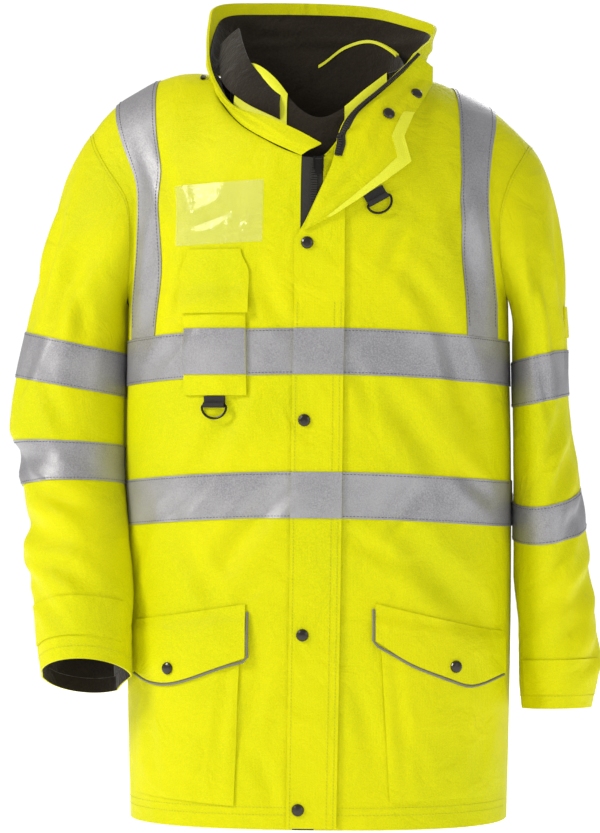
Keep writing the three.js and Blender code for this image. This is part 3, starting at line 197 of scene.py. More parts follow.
@dataclass(frozen=True)
class Block:
    """The garment's block: the form that its panels and all that lies on them share.

    A place on it is `chest`, across at chest level and negative on the wearer's
    right, and `row`, millimetres below chest level where negative and from 0 to
    `yoke` between chest level and the neck or shoulder seam.
    """

    chest_z: float = -255.0
    hem_z: float = -822.0
    half: float = 212.0
    yoke: float = 200.0
    power: float = 2.5
    rounding: float = 2.2
    armhole_front: float = 78.0
    armhole_back: float = 74.0
    neck_point: float = 126.0
    tape_dip: float = 12.0
    drape: float = 2.2
    calm_edge: tuple[float, float] = (0.86, 0.98)
    sections: Table = Table(
        "z half front back hang", (-822, 210, 150, 142, -11), (-700, 213, 151, 144, -9),
        (-560, 215, 150, 144, -7), (-420, 215, 150, 144, -5), (-320, 213, 149, 143, -3.5),
        (-255, 212, 148, 142, -2))
    tops: tuple[Table, ...] = (
        Table("chest out y z", (0, 0, -145, -98), (23, 25, -140, -89), (42, 46, -132, -78),
              (70, 78, -112, -58), (98, 102, -75, -30), (126, 114, -18, 2), (150, 146, -8, 7),
              (170, 177, -2, 0), (187, 203, 0, -13), (201, 226, 0, -27), (209, 243, 0, -43),
              (212, 255, 0, -58)),
        Table("chest out y z", (0, 0, -145, -98), (18, 18, -145, -95), (42, 42, -129, -64),
              (70, 68, -106, -37), (98, 90, -72, -20), (126, 112, -18, -4), (150, 130, -8, -5),
              (170, 147, -2, -12), (187, 170, 0, -23), (201, 193, 0, -37), (209, 216, 0, -56),
              (212, 236, 0, -75)),
        Table("chest out y z", (0, 0, 82, 16), (35, 34, 80, 16), (70, 66, 68, 13),
              (98, 93, 42, 8), (126, 114, -18, 2), (150, 146, -8, 7), (170, 177, -2, 0),
              (187, 203, 0, -13), (201, 226, 0, -27), (209, 243, 0, -43), (212, 255, 0, -58)),
        Table("chest out y z", (0, 0, 82, 16), (35, 34, 80, 16), (70, 66, 68, 13),
              (98, 93, 42, 8), (126, 112, -18, -4), (150, 130, -8, -5), (170, 147, -2, -12),
              (187, 170, 0, -23), (201, 193, 0, -37), (209, 216, 0, -56), (212, 236, 0, -75)))
    armholes: tuple[Table, ...] = (
        Table("rise out", (0, 212), (0.25, 204), (0.5, 203), (0.62, 209), (0.78, 231),
              (0.9, 246), (1, 255)),
        Table("rise out", (0, 212), (0.25, 206), (0.5, 204), (0.62, 207), (0.78, 216),
              (0.9, 227), (1, 236)))

    def section(self, chest: Array, z: Array, back: bool) -> Array:
        """The body's section at one height.

        Args:
            chest: places across.
            z: heights, at chest level or below.
            back: the back half instead of the front.

        Returns:
            Points of the section.
        """
        half = self.sections.at("half", z)
        depth = self.sections.at("back" if back else "front", z)
        share = chest / self.half
        hang = 0 if back else self.sections.at("hang", z) * (1 - share * share)
        x = half * share + hang
        fill = 1 - np.minimum(1, np.abs(x) / half) ** self.power
        return points(x, (1 if back else -1) * depth * fill ** (1 / self.power), z)

    def form(self, chest: Array, row: Array, back: bool) -> Array:
        """The smooth form, before folds.

        Args:
            chest: places across.
            row: places along.
            back: the back half instead of the front.

        Returns:
            Points of the form.
        """
        chest, row = np.broadcast_arrays(np.asarray(chest, float), np.asarray(row, float))
        across = np.minimum(np.abs(chest), self.half)
        right = chest < 0
        outward = np.where(right, -1.0, 1.0)
        angle = np.clip(row, 0, self.yoke) / self.yoke * (math.pi / 2)
        rise = np.sin(angle) ** (2 / self.rounding)
        lean = 1 - np.maximum(0, np.cos(angle)) ** (2 / self.rounding)
        low = self.section(chest, self.chest_z + np.minimum(row, 0), back)
        first = 2 if back else 0
        tops = [self.tops[first], self.tops[first + 1]]
        out, y, z = (np.where(right, tops[0].at(name, across), tops[1].at(name, across))
                     for name in ("out", "y", "z"))
        x = mix(low[..., 0], outward * out, lean)
        y = mix(low[..., 1], y, lean)
        z = mix(low[..., 2], z, rise)
        edge = np.where(right, tops[0].columns["out"][-1], tops[1].columns["out"][-1])
        stand = np.where(right, self.armholes[0].at("out", rise), self.armholes[1].at("out", rise))
        x = x + outward * (across / self.half) ** 6 * (stand - mix(self.half, edge, lean))
        facing = 1 if back else -1
        depth = np.maximum(0, facing * y)
        round_ = np.maximum(0, np.sin(math.pi * rise ** 0.8)) ** 0.6
        wide = (self.armhole_back if back else self.armhole_front) * round_ * (across / self.half) ** 4
        y = y + facing * (np.cbrt(depth ** 3 + wide ** 3) - depth)
        return points(x, y, z)

    def armhole_normal(self, chest: Array, row: Array, back: bool) -> Array:
        """Direction of the wall at the armhole seam, shared by body and sleeve.

        Args:
            chest: places across, at either armhole.
            row: places along, above chest level.
            back: the back half instead of the front.

        Returns:
            Unit vectors out of the wall.
        """
        point = self.form(chest, row, False)
        top = self.form(chest, self.yoke, False)[..., 2]
        middle, span = (top + self.chest_z) / 2, (top - self.chest_z) / 2
        share = (point[..., 2] - self.chest_z) / (2 * span)
        radial = unit(points(0, point[..., 1] / self.armhole_front, (point[..., 2] - middle) / span))
        radial[..., 0] = np.sign(chest) * mix(0.3, 0.75, share)
        radial = unit(radial)
        if back:
            radial[..., 1] = np.abs(radial[..., 1])
        return radial

    def normal(self, chest: Array, row: Array, back: bool) -> Array:
        """Directions out of the cloth.

        Args:
            chest: places across.
            row: places along.
            back: the back half instead of the front.

        Returns:
            Unit vectors out of the cloth, upright at the side and shoulder seams.
        """
        chest, row = np.broadcast_arrays(np.asarray(chest, float), np.asarray(row, float))
        step = 1.5
        right = self.form(np.minimum(chest + step, self.half), row, back)
        left = self.form(np.maximum(chest - step, -self.half), row, back)
        above = self.form(chest, np.minimum(row + step, self.yoke), back)
        below = self.form(chest, row - step, back)
        normal = unit(np.cross(right - left, above - below) * (-1 if back else 1))
        edge = np.abs(chest) >= self.half
        side = normal.copy()
        side[..., 1] = 0
        normal = np.where((edge & (row <= 0))[..., None], unit(side), normal)
        arm = self.armhole_normal(chest, np.maximum(row, 0.001), back)
        normal = np.where((edge & (row > 0))[..., None], arm, normal)
        along = unit(self.form(chest + 1, self.yoke, back) - self.form(chest - 1, self.yoke, back))
        seam = unit(points(-along[..., 2], 0, along[..., 0]))
        top = (row >= self.yoke) & (np.abs(chest) >= self.neck_point) & ~edge
        return np.where(top[..., None], seam, normal)

    def cloth(self, chest: Array, row: Array, back: bool, lift: Array = 0.0) -> Array:
        """The folded cloth, moved out by lift.

        Args:
            chest: places across.
            row: places along.
            back: the back half instead of the front.
            lift: distance off the panel's face.

        Returns:
            Points of the cloth.
        """
        point = self.form(chest, row, back)
        edge = 1 - smooth(*self.calm_edge, np.abs(chest) / self.half)
        creases = BACK_CREASES if back else FRONT_CREASES
        depth = crease_depth(creases, point[..., 0], point[..., 2]) * edge * self.drape
        return point + self.normal(chest, row, back) * np.asarray(lift - depth)[..., None]

    def dipped(self, row: Array, chest: Array) -> Array:
        """The taped rows, which dip towards the side seams."""
        z = self.chest_z + row
        taped = smooth(-575, -500, z) * (1 - smooth(-275, -257, z))
        return row - self.tape_dip * taped * np.abs(chest / self.half) ** 2.2

    def locate(self, x: Array, z: Array) -> tuple[Array, Array]:
        """Finds the place on the front that is seen at x, z from straight ahead.

        Args:
            x: places across.
            z: heights.

        Returns:
            The chest and row values there.
        """
        x, z = np.broadcast_arrays(np.asarray(x, float), np.asarray(z, float))
        chest = x.copy()
        row = np.where(z < self.chest_z, z - self.chest_z, (z - self.chest_z) * 0.85)
        for _ in range(14):
            here = self.form(chest, row, False)
            across = self.form(chest + 1, row, False) - here
            step = np.where(row > self.yoke - 2, -1.0, 1.0)
            up = (self.form(chest, row + step, False) - here) * step[..., None]
            det = across[..., 0] * up[..., 2] - across[..., 2] * up[..., 0]
            dx, dz = x - here[..., 0], z - here[..., 2]
            chest = np.clip(chest + (dx * up[..., 2] - dz * up[..., 0]) / det, 1 - self.half, self.half - 1)
            row = np.clip(row + (dz * across[..., 0] - dx * across[..., 2]) / det,
                          self.hem_z - self.chest_z, self.yoke)
        return chest, row

    def on_front(self, x: Array, z: Array, lift: Array = 0.0) -> Array:
        """Points of the front's cloth seen at x, z, moved out by lift."""
        chest, row = self.locate(x, z)
        return self.cloth(chest, row, False, lift)

    def columns(self, start: float, stop: float, step: float = 5.0) -> Array:
        """Places across at even distances along the section at chest level.

        Args:
            start: the first place across.
            stop: the last place across.
            step: the distance between them, about.

        Returns:
            The places, in order from start to stop.
        """
        fine = np.linspace(start, stop, 4001)
        line = self.section(fine, np.full_like(fine, self.chest_z), False)
        run = np.concatenate([[0], np.cumsum(np.linalg.norm(np.diff(line, axis=0), axis=1))])
        count = max(2, round(run[-1] / step))
        return np.interp(np.linspace(0, run[-1], count + 1), run, fine)

    def run(self, chest: Array) -> Array:
        """Distance along the section from the centre line, for the cloth's own map."""
        fine = np.linspace(-self.half, self.half, 4001)
        line = self.section(fine, np.full_like(fine, self.chest_z), False)
        length = np.concatenate([[0], np.cumsum(np.linalg.norm(np.diff(line, axis=0), axis=1))])
        return np.interp(chest, fine, length) - length[2000]


BLOCK = Block()


def even_rows(start: float, stop: float, step: float = 5.0) -> Array:
    """Even places from start to stop, about step apart."""
    return np.linspace(start, stop, max(1, round(abs(stop - start) / step)) + 1)


def grid_normals(grid: Array, facing: float = 1.0, wrap: bool = False) -> Array:
    """Directions out of a grid of points.

    Args:
        grid: rows and columns of points.
        facing: 1, or -1 to face the other way.
        wrap: the rows close on themselves.

    Returns:
        A unit vector for each point.
    """
    if wrap:
        across = np.roll(grid, -1, axis=1) - np.roll(grid, 1, axis=1)
    else:
        across = np.gradient(grid, axis=1)
    return unit(np.cross(across, np.gradient(grid, axis=0)) * facing)


def shell(name: str, outer: Array, inner: Array, uv: Array, wrap: bool = False) -> bpy.types.Object:
    """Makes a closed thin shell between two grids of points in millimetres.

    Args:
        name: the object's name.
        outer: the face's points, in rows and columns.
        inner: the points of its other side.
        uv: the cloth's own map in millimetres, with one more column where the rows close.
        wrap: the rows close on themselves.

    Returns:
        The object: its first material is for the face and edges, its second for the inside.
    """
    rows, cols = outer.shape[:2]
    index = np.arange(rows * cols).reshape(rows, cols)
    if wrap:
        index = np.concatenate([index, index[:, :1]], axis=1)
    size = index.shape[1]
    map_index = np.arange(rows * size).reshape(rows, size)
    faces, maps, kinds = [], [], []

    def strip(a: tuple, b: tuple, c: tuple, d: tuple, kind: int) -> None:
        """Adds one quad for each place of four equal slices, as (layer, slice) pairs."""
        quad = np.stack([(index[cut] + layer * rows * cols).ravel() for layer, cut in (a, b, c, d)], axis=1)
        faces.append(quad)
        maps.append(np.stack([map_index[cut].ravel() for _, cut in (a, b, c, d)], axis=1))
        kinds.append(np.full(len(quad), kind))

    s, low, high = np.s_, slice(None, -1), slice(1, None)
    strip((0, s[low, low]), (0, s[low, high]), (0, s[high, high]), (0, s[high, low]), 0)
    strip((1, s[low, low]), (1, s[high, low]), (1, s[high, high]), (1, s[low, high]), 1)
    strip((0, s[0, low]), (1, s[0, low]), (1, s[0, high]), (0, s[0, high]), 0)
    strip((0, s[-1, low]), (0, s[-1, high]), (1, s[-1, high]), (1, s[-1, low]), 0)
    if not wrap:
        strip((0, s[low, 0]), (0, s[high, 0]), (1, s[high, 0]), (1, s[low, 0]), 0)
        strip((0, s[low, -1]), (1, s[low, -1]), (1, s[high, -1]), (0, s[high, -1]), 0)
    quads, corners, kind = np.concatenate(faces), np.concatenate(maps), np.concatenate(kinds)
    where = np.concatenate([outer.reshape(-1, 3), inner.reshape(-1, 3)]) * MM
    a, b, c, d = (where[quads[:, i]] for i in range(4))
    if np.sum(a * (np.cross(b, c) + np.cross(c, d))) < 0:
        quads, corners = quads[:, ::-1], corners[:, ::-1]
    return mesh_object(name, where, quads, uv.reshape(-1, 2)[corners.ravel()] * MM, kind)


def layer(name: str, grid: Array, normals: Array, low: float, high: float, uv: Array,
          part: tuple[slice, slice] = np.s_[:, :]) -> bpy.types.Object:
    """Makes a shell between two distances off a grid of points.

    Args:
        name: the object's name.
        grid: the points.
        normals: the directions out of them.
        low: the distance of its underside.
        high: the distance of its face.
        uv: the cloth's own map.
        part: the part of the grid that it covers.

    Returns:
        The object.
    """
    return shell(name, (grid + normals * high)[part], (grid + normals * low)[part], uv[part])


def mesh_object(name: str, where: Array, quads: Array, uv: Array | None = None,
                kind: Array | None = None) -> bpy.types.Object:
    """Makes an object from points in metres and faces of equal size.

    Args:
        name: the object's name.
        where: the points.
        quads: the faces, as rows of point numbers.
        uv: a map value for each face corner.
        kind: a material number for each face.

    Returns:
        The object, smooth with sharp edges at its rims.
    """
    mesh = bpy.data.meshes.new(name)
    mesh.from_pydata(where.tolist(), [], quads.tolist())
    if uv is not None:
        values = np.ascontiguousarray(uv, np.float32).ravel()
        mesh.uv_layers.new(name="cloth").uv.foreach_set("vector", values)
    if kind is not None:
        mesh.polygons.foreach_set("material_index", kind.astype(np.int32))
    mesh.polygons.foreach_set("use_smooth", np.ones(len(quads), bool))
    mesh.set_sharp_from_angle(angle=SHARP)
    mesh.update()
    obj = bpy.data.objects.new(name, mesh)
    bpy.context.collection.objects.link(obj)
    return obj


RIGHT_SLEEVE_CREASES = (
    (40, 180, 80, 15, 4, 6.5), (78, 210, 70, 13, -6, 7.5), (118, 255, 60, 13, 10, 6.0),
    (30, 425, 45, 12, 78, 4.5), (70, 520, 60, 13, 68, 6.5), (95, 560, 55, 12, 60, 5.5),
    (-20, 505, 30, 14, 80, 6.5), (-150, 300, 80, 16, 12, 5.0), (-120, 470, 55, 14, 70, 4.5),
    (8, 120, 50, 10, -8, 2.4), (20, 250, 52, 9, 12, 3.0), (52, 330, 40, 9, -14, 2.6),
    (96, 370, 36, 9, 30, 2.8), (60, 460, 42, 8, 58, 3.2), (100, 480, 38, 9, 72, 3.2),
    (20, 560, 36, 8, 66, 2.6), (60, 600, 40, 9, 48, 2.6), (-60, 160, 56, 11, 6, 3.0),
    (-80, 240, 60, 12, -10, 3.4), (-50, 400, 44, 10, 60, 3.0), (-90, 540, 50, 11, 74, 3.8),
    (-60, 610, 38, 9, 50, 2.4), (0, 640, 26, 8, 20, 1.6), (130, 430, 40, 10, 64, 3.0),
)
LEFT_SLEEVE_CREASES = (
    (30, 190, 70, 13, 6, 4.5), (62, 250, 75, 13, -8, 5.5), (50, 430, 40, 12, 62, 4.5),
    (45, 570, 55, 13, 66, 5.5), (70, 610, 45, 11, 55, 4.5), (-110, 280, 75, 15, 10, 5.0),
    (-100, 480, 60, 14, 68, 4.5), (88, 160, 56, 11, 14, 3.2), (96, 330, 52, 10, -20, 3.0),
    (20, 300, 44, 9, 18, 2.2), (76, 400, 42, 10, 48, 2.8), (24, 480, 38, 9, 70, 2.4),
    (80, 520, 46, 10, 40, 3.2), (30, 640, 36, 9, 60, 2.6), (-40, 180, 58, 11, -8, 2.8),
    (-70, 370, 50, 11, 24, 2.8), (-50, 560, 46, 10, 66, 3.0), (-90, 640, 40, 10, 52, 2.4),
    (110, 580, 40, 10, 58, 3.0), (0, 400, 34, 9, 30, 1.8),
)


@dataclass(frozen=True)
class Arm:
    """One sleeve's form.

    `down` is the depth below the neck, and `angle` runs round it from outside by the front.
    """

    side: Side
    rings: Table
    creases: Creases
    end: float
    start: float = 290.0
    clear: float = 3.2
    pocket_clear: float = 11.0
    girth: float = 66.0
    drape: float = 1.5
    seam_rows: Table = Table(
        "index row", (0, 200), (1, 172), (2, 146), (3, 120), (4, 94), (5, 70), (6, 48),
        (7, 30), (8, 16), (9, 6), (10, 0))

    def ring(self, down: Array, angle: Array) -> Array:
        """Points of the plain tube."""
        at = {name: self.rings.at(name, down) for name in ("out", "y", "rx", "ry", "roll", "pitch")}
        x, y = np.cos(angle) * at["rx"], -np.sin(angle) * at["ry"]
        z = -down + at["roll"] * x - at["pitch"] * y
        return points(self.side.value * (at["out"] + x), at["y"] + y, z)

    def armhole(self, angle: Array) -> tuple[Array, Array]:
        """The armhole seam: its points and the directions out of the wall."""
        index = np.mod(angle, 2 * math.pi) / (2 * math.pi) * 20
        back = index > 10
        row = self.seam_rows.at("row", np.where(back, 20 - index, index))
        chest = np.full_like(row, self.side.value * BLOCK.half)
        point = np.where(back[..., None], BLOCK.form(chest, row, True), BLOCK.form(chest, row, False))
        point[..., 0] += self.side.value * SEAM * 1.3
        high = np.maximum(row, 0.001)
        normal = np.where(back[..., None], BLOCK.armhole_normal(chest, high, True),
                          BLOCK.armhole_normal(chest, high, False))
        return point, normal

    def clear_of_body(self, point: Array) -> Array:
        """Pushes points out of the body's section, with play."""
        x, y, z = point[..., 0], point[..., 1], np.clip(point[..., 2], BLOCK.hem_z, BLOCK.chest_z)
        play = mix(self.pocket_clear, self.clear, smooth(-610, -550, point[..., 2]))
        half = BLOCK.sections.at("half", z) + play
        depth = np.where(y < 0, BLOCK.sections.at("front", z), BLOCK.sections.at("back", z)) + play
        reach = np.maximum((np.abs(x) / half) ** BLOCK.power + (np.abs(y) / depth) ** BLOCK.power, 1e-6)
        grow = np.where(reach < 1, reach ** (-1 / BLOCK.power), 1.0)
        grow = mix(1.0, grow, 1 - smooth(-254, -240, point[..., 2]))
        return points(x * grow, y * grow, point[..., 2])

    def surface(self, down: Array, angle: Array) -> Array:
        """The sleeve without folds.

        Args:
            down: depths below the neck.
            angle: places round the sleeve.

        Returns:
            Points of the surface.
        """
        down, angle = np.broadcast_arrays(np.asarray(down, float), np.asarray(angle, float))
        start, _ = self.armhole(angle)
        end = self.ring(np.full_like(down, self.start), angle)
        t = np.clip(down / self.start, 0, 1)[..., None]
        length = np.linalg.norm(start - end, axis=-1, keepdims=True)
        over = (1 + np.cos(angle)) / 2
        leave = points(self.side.value * mix(0.55, 0.66, over), -0.25 * np.sin(angle), -mix(0.8, 0.75, over))
        arrive = unit(self.ring(np.full_like(down, self.start + 30), angle) - end)
        t2, t3 = t * t, t * t * t
        head = start * (2 * t3 - 3 * t2 + 1) + leave * (t3 - 2 * t2 + t) * length * 0.8
        head = head + end * (3 * t2 - 2 * t3) + arrive * (t3 - t2) * length * 0.9
        tube = self.ring(np.maximum(down, self.start), angle)
        return self.clear_of_body(np.where((down >= self.start)[..., None], tube, head))

    def cloth(self, down: Array, angle: Array, lift: Array = 0.0) -> Array:
        """The folded sleeve, moved out by lift.

        Args:
            down: depths below the neck.
            angle: places round the sleeve.
            lift: distance off the sleeve's face.

        Returns:
            Points of the cloth.
        """
        down, angle = np.broadcast_arrays(np.asarray(down, float), np.asarray(angle, float))
        turn = 0.03
        round_ = self.surface(down, angle + turn) - self.surface(down, angle - turn)
        along = self.surface(down + 2, angle) - self.surface(np.maximum(down - 2, 0), angle)
        normal = unit(np.cross(round_, along) * self.side.value)
        _, first = self.armhole(angle)
        normal = unit(mix(first, normal, smooth(0, 14, down)[..., None]))
        turned = np.mod(angle, 2 * math.pi)
        signed = np.where(turned > math.pi, turned - 2 * math.pi, turned)
        outer = smooth(0.3, 0.62, np.abs(turned - math.pi) / math.pi)
        creased = crease_depth(self.creases, signed * self.girth, down)
        depth = creased * outer * smooth(10, 60, down) * self.drape
        point = self.surface(down, angle)
        return point + normal * np.asarray(lift - depth)[..., None]


ARMS = {
    Side.RIGHT: Arm(Side.RIGHT, Table(
        "down out y rx ry roll pitch", (290, 268, 0, 60, 76, 0.22, 0), (345, 275, -4, 66, 75, 0.18, 0.02),
        (392, 277, -12, 69, 73, 0.08, 0.05), (436, 271, -26, 61, 70, 0, 0.1),
        (480, 263, -40, 60, 68, 0, 0.16), (535, 260, -58, 62, 66, 0, 0.24),
        (580, 252, -73, 58, 62, 0, 0.32), (625, 250, -86, 54, 57, 0, 0.4),
        (662, 248, -96, 51, 54, 0, 0.43)), RIGHT_SLEEVE_CREASES, 662),
    Side.LEFT: Arm(Side.LEFT, Table(
        "down out y rx ry roll pitch", (290, 246, 14, 30, 90, 0.24, 0), (345, 247, 14, 31, 88, 0.22, 0),
        (379, 248, 12, 32, 86, 0.2, -0.06), (434, 252, 9, 36, 81, 0.16, -0.15),
        (476, 255, 6, 39, 77, 0.14, -0.18), (544, 260, 2, 43, 71, 0.1, -0.1),
        (597, 263, -2, 45, 65, 0.06, 0), (650, 268, -6, 46, 60, 0.03, 0.05),
        (700, 266, -8, 39, 56, 0.02, 0.05)), LEFT_SLEEVE_CREASES, 700),
}


class Tree:
    """A node tree under construction."""

    def __init__(self, tree: bpy.types.NodeTree) -> None:
        """Keeps the tree and empties it."""
        self.tree = tree
        tree.nodes.clear()

    def add(self, kind: str, inputs: dict | None = None, **settings: object) -> bpy.types.Node:
        """Adds a node.

        Args:
            kind: the node's type.
            inputs: values or sockets by the input's name or number.
            settings: the node's own options.

        Returns:
            The node.
        """
        node = self.tree.nodes.new(kind)
        for name, value in settings.items():
            setattr(node, name, value)
        for name, value in (inputs or {}).items():
            socket = node.inputs[name]
            if isinstance(value, bpy.types.NodeSocket):
                self.tree.links.new(value, socket)
            else:
                socket.default_value = value
        return node


def linear(red: float, green: float, blue: float) -> tuple[float, float, float, float]:
    """A screen colour of 0 to 255 as the shader's own value."""
    shares = (value / 255 for value in (red, green, blue))
    return (*(s / 12.92 if s < 0.0404 else ((s + 0.055) / 1.055) ** 2.4 for s in shares), 1)


@dataclass(frozen=True)
class Finish:
    """A finish: its two colours, gloss, grain and a painted glow. Scales are per metre, depths in metres."""

    name: str
    colour: tuple[float, float, float]
    second: tuple[float, float, float]
    roughness: float = 0.6
    metallic: float = 0.0
    sheen: float = 0.0
    # glow: painted light, an emission in the first colour that brightens the surface as much in shade as in
    # light
    glow: float = 0.0
    coat: float = 0.0
    alpha: float = 1.0
    specular: float = 0.5
    patch_scale: float = 9.0
    grain_scale: float = 700.0
    grain: float = 0.0002
    crumple_scale: float = 24.0
    crumple: float = 0.0
    weave_pitch: float = 0.0
    weave: float = 0.0001

    def material(self) -> bpy.types.Material:
        """Builds the finish.

        Returns:
            The material, on Object coordinates and the cloth's own map.
        """
        made = bpy.data.materials.new(self.name)
        made.use_nodes = True
        tree = Tree(made.node_tree)
        place = tree.add("ShaderNodeTexCoord").outputs["Object"]
        patch = tree.add("ShaderNodeTexNoise", {"Vector": place, "Scale": self.patch_scale, "Detail": 3.0})
        grain = tree.add("ShaderNodeTexNoise", {"Vector": place, "Scale": self.grain_scale, "Detail": 1.0})
        blend = tree.add("ShaderNodeMath", {0: patch.outputs["Fac"], 1: grain.outputs["Fac"]},
                         operation="MULTIPLY")
        share = tree.add("ShaderNodeMapRange", {"Value": blend.outputs[0], "From Min": 0.12, "From Max": 0.4})
        colour = tree.add("ShaderNodeMix", {0: share.outputs["Result"], 6: linear(*self.colour),
                                            7: linear(*self.second)}, data_type="RGBA")
        bump = tree.add("ShaderNodeBump", {"Height": grain.outputs["Fac"], "Distance": self.grain,
                                           "Strength": 1.0})
        if self.crumple:
            crumple = tree.add("ShaderNodeTexNoise", {"Vector": place, "Scale": self.crumple_scale,
                                                      "Detail": 3.0, "Roughness": 0.5, "Distortion": 0.7})
            bump = tree.add("ShaderNodeBump", {"Height": crumple.outputs["Fac"], "Distance": self.crumple,
                                               "Normal": bump.outputs["Normal"]})
        if self.weave_pitch:
            cloth = tree.add("ShaderNodeUVMap", uv_map="cloth").outputs["UV"]
            scale = 2 * math.pi / 20 / self.weave_pitch
            warp = tree.add("ShaderNodeTexWave", {"Vector": cloth, "Scale": scale}, bands_direction="X")
            weft = tree.add("ShaderNodeTexWave", {"Vector": cloth, "Scale": scale}, bands_direction="Y")
            cross = tree.add("ShaderNodeMath", {0: warp.outputs["Fac"], 1: weft.outputs["Fac"]},
                             operation="MULTIPLY")
            bump = tree.add("ShaderNodeBump", {"Height": cross.outputs[0], "Distance": self.weave,
                                               "Normal": bump.outputs["Normal"]})
        values = {"Base Color": colour.outputs[2], "Normal": bump.outputs["Normal"],
                  "Roughness": self.roughness, "Metallic": self.metallic, "Sheen Weight": self.sheen,
                  "Sheen Roughness": 0.45, "Coat Weight": self.coat, "Coat Roughness": 0.12,
                  "Alpha": self.alpha, "Specular IOR Level": self.specular}
        # Painted glow: the surface gives out light in its own colour, which lifts its shade
        if self.glow:
            values |= {"Emission Color": linear(*self.colour), "Emission Strength": self.glow}
        shader = tree.add("ShaderNodeBsdfPrincipled", values)
        tree.add("ShaderNodeOutputMaterial", {"Surface": shader.outputs[0]})
        made.diffuse_color = linear(*self.colour)
        return made


class Cloths(Enum):
    """The jacket's finishes."""

    # The fluorescent cloth and the facing tape glow: painted light standing in for fluorescence, which keeps
    # their shaded folds bright
    YELLOW = Finish("fluorescent_cloth", (220, 216, 0), (200, 205, 0), 0.55, sheen=0.01, glow=0.03,
                    specular=0.12, crumple=0.0045, weave_pitch=0.0016, weave=0.00012)
    PALE_YELLOW = Finish("facing_tape", (232, 234, 50), (222, 226, 30), 0.5, glow=0.06, specular=0.35,
                         weave_pitch=0.0022)
    # Painted sheen: the tape's two colours, mixed in patches at random, stand in for the sheen that the
    # lights raise on it
    TAPE = Finish("reflective_tape", (168, 167, 170), (138, 137, 141), 0.42, 0.3, specular=0.5,
                  patch_scale=16.0, crumple=0.0016, crumple_scale=17.0, weave_pitch=0.0012, weave=0.00005)
    LINING = Finish("black_lining", (44, 37, 26), (34, 28, 20), 0.9, sheen=0.25, specular=0.2,
                    crumple=0.004, crumple_scale=38.0, grain=0.0005, grain_scale=420.0)
    WINDOW = Finish("clear_vinyl", (236, 240, 200), (224, 230, 170), 0.06, coat=1.0, alpha=0.12,
                    crumple=0.012, crumple_scale=22.0, grain=0.00001)
    METAL = Finish("black_metal", (42, 40, 38), (34, 32, 30), 0.3, 0.7, grain=0.00003)
    SNAP = Finish("snap_enamel", (44, 38, 30), (36, 31, 25), 0.28, 0.35, coat=0.3, grain=0.00002)
    WEBBING = Finish("black_webbing", (40, 38, 36), (28, 27, 26), 0.8, grain=0.0003,
                     weave_pitch=0.0024, weave=0.0004)
    ZIP_CLOTH = Finish("zip_cloth", (40, 37, 30), (30, 28, 24), 0.75, weave_pitch=0.0016)
    TEETH = Finish("zip_teeth", (52, 48, 42), (40, 37, 33), 0.35, coat=0.2, grain=0.00003)
    PIPING = Finish("grey_piping", (122, 122, 112), (104, 104, 96), 0.5, grain=0.0001)
    YELLOW_THREAD = Finish("yellow_thread", (206, 206, 20), (190, 192, 20), 0.6, grain=0.00005)
    GREY_THREAD = Finish("grey_thread", (96, 95, 92), (80, 79, 77), 0.6, grain=0.00005)

    @property
    def made(self) -> bpy.types.Material:
        """The finish's material, made once."""
        return bpy.data.materials.get(self.value.name) or self.value.material()


def dress(obj: bpy.types.Object, nodes: Sequence[str], finishes: Sequence[Cloths],
          body: str = "jacket") -> bpy.types.Object:
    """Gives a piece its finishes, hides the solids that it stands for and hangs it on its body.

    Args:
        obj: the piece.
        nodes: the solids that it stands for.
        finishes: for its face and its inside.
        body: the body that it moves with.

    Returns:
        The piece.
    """
    for finish in finishes:
        obj.data.materials.append(finish.made)
    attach(obj, body)
    if nodes:
        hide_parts(*nodes)
    log.info("%s: %d faces", obj.name, len(obj.data.polygons))
    return obj


def lay_tape(obj: bpy.types.Object, node: str, under: str) -> None:
    """Dresses one length of reflective tape.

    Args:
        obj: the tape.
        node: the solid that it stands for.
        under: the piece that it is sewn to; not used.
    """
    dress(obj, [node], [Cloths.TAPE])


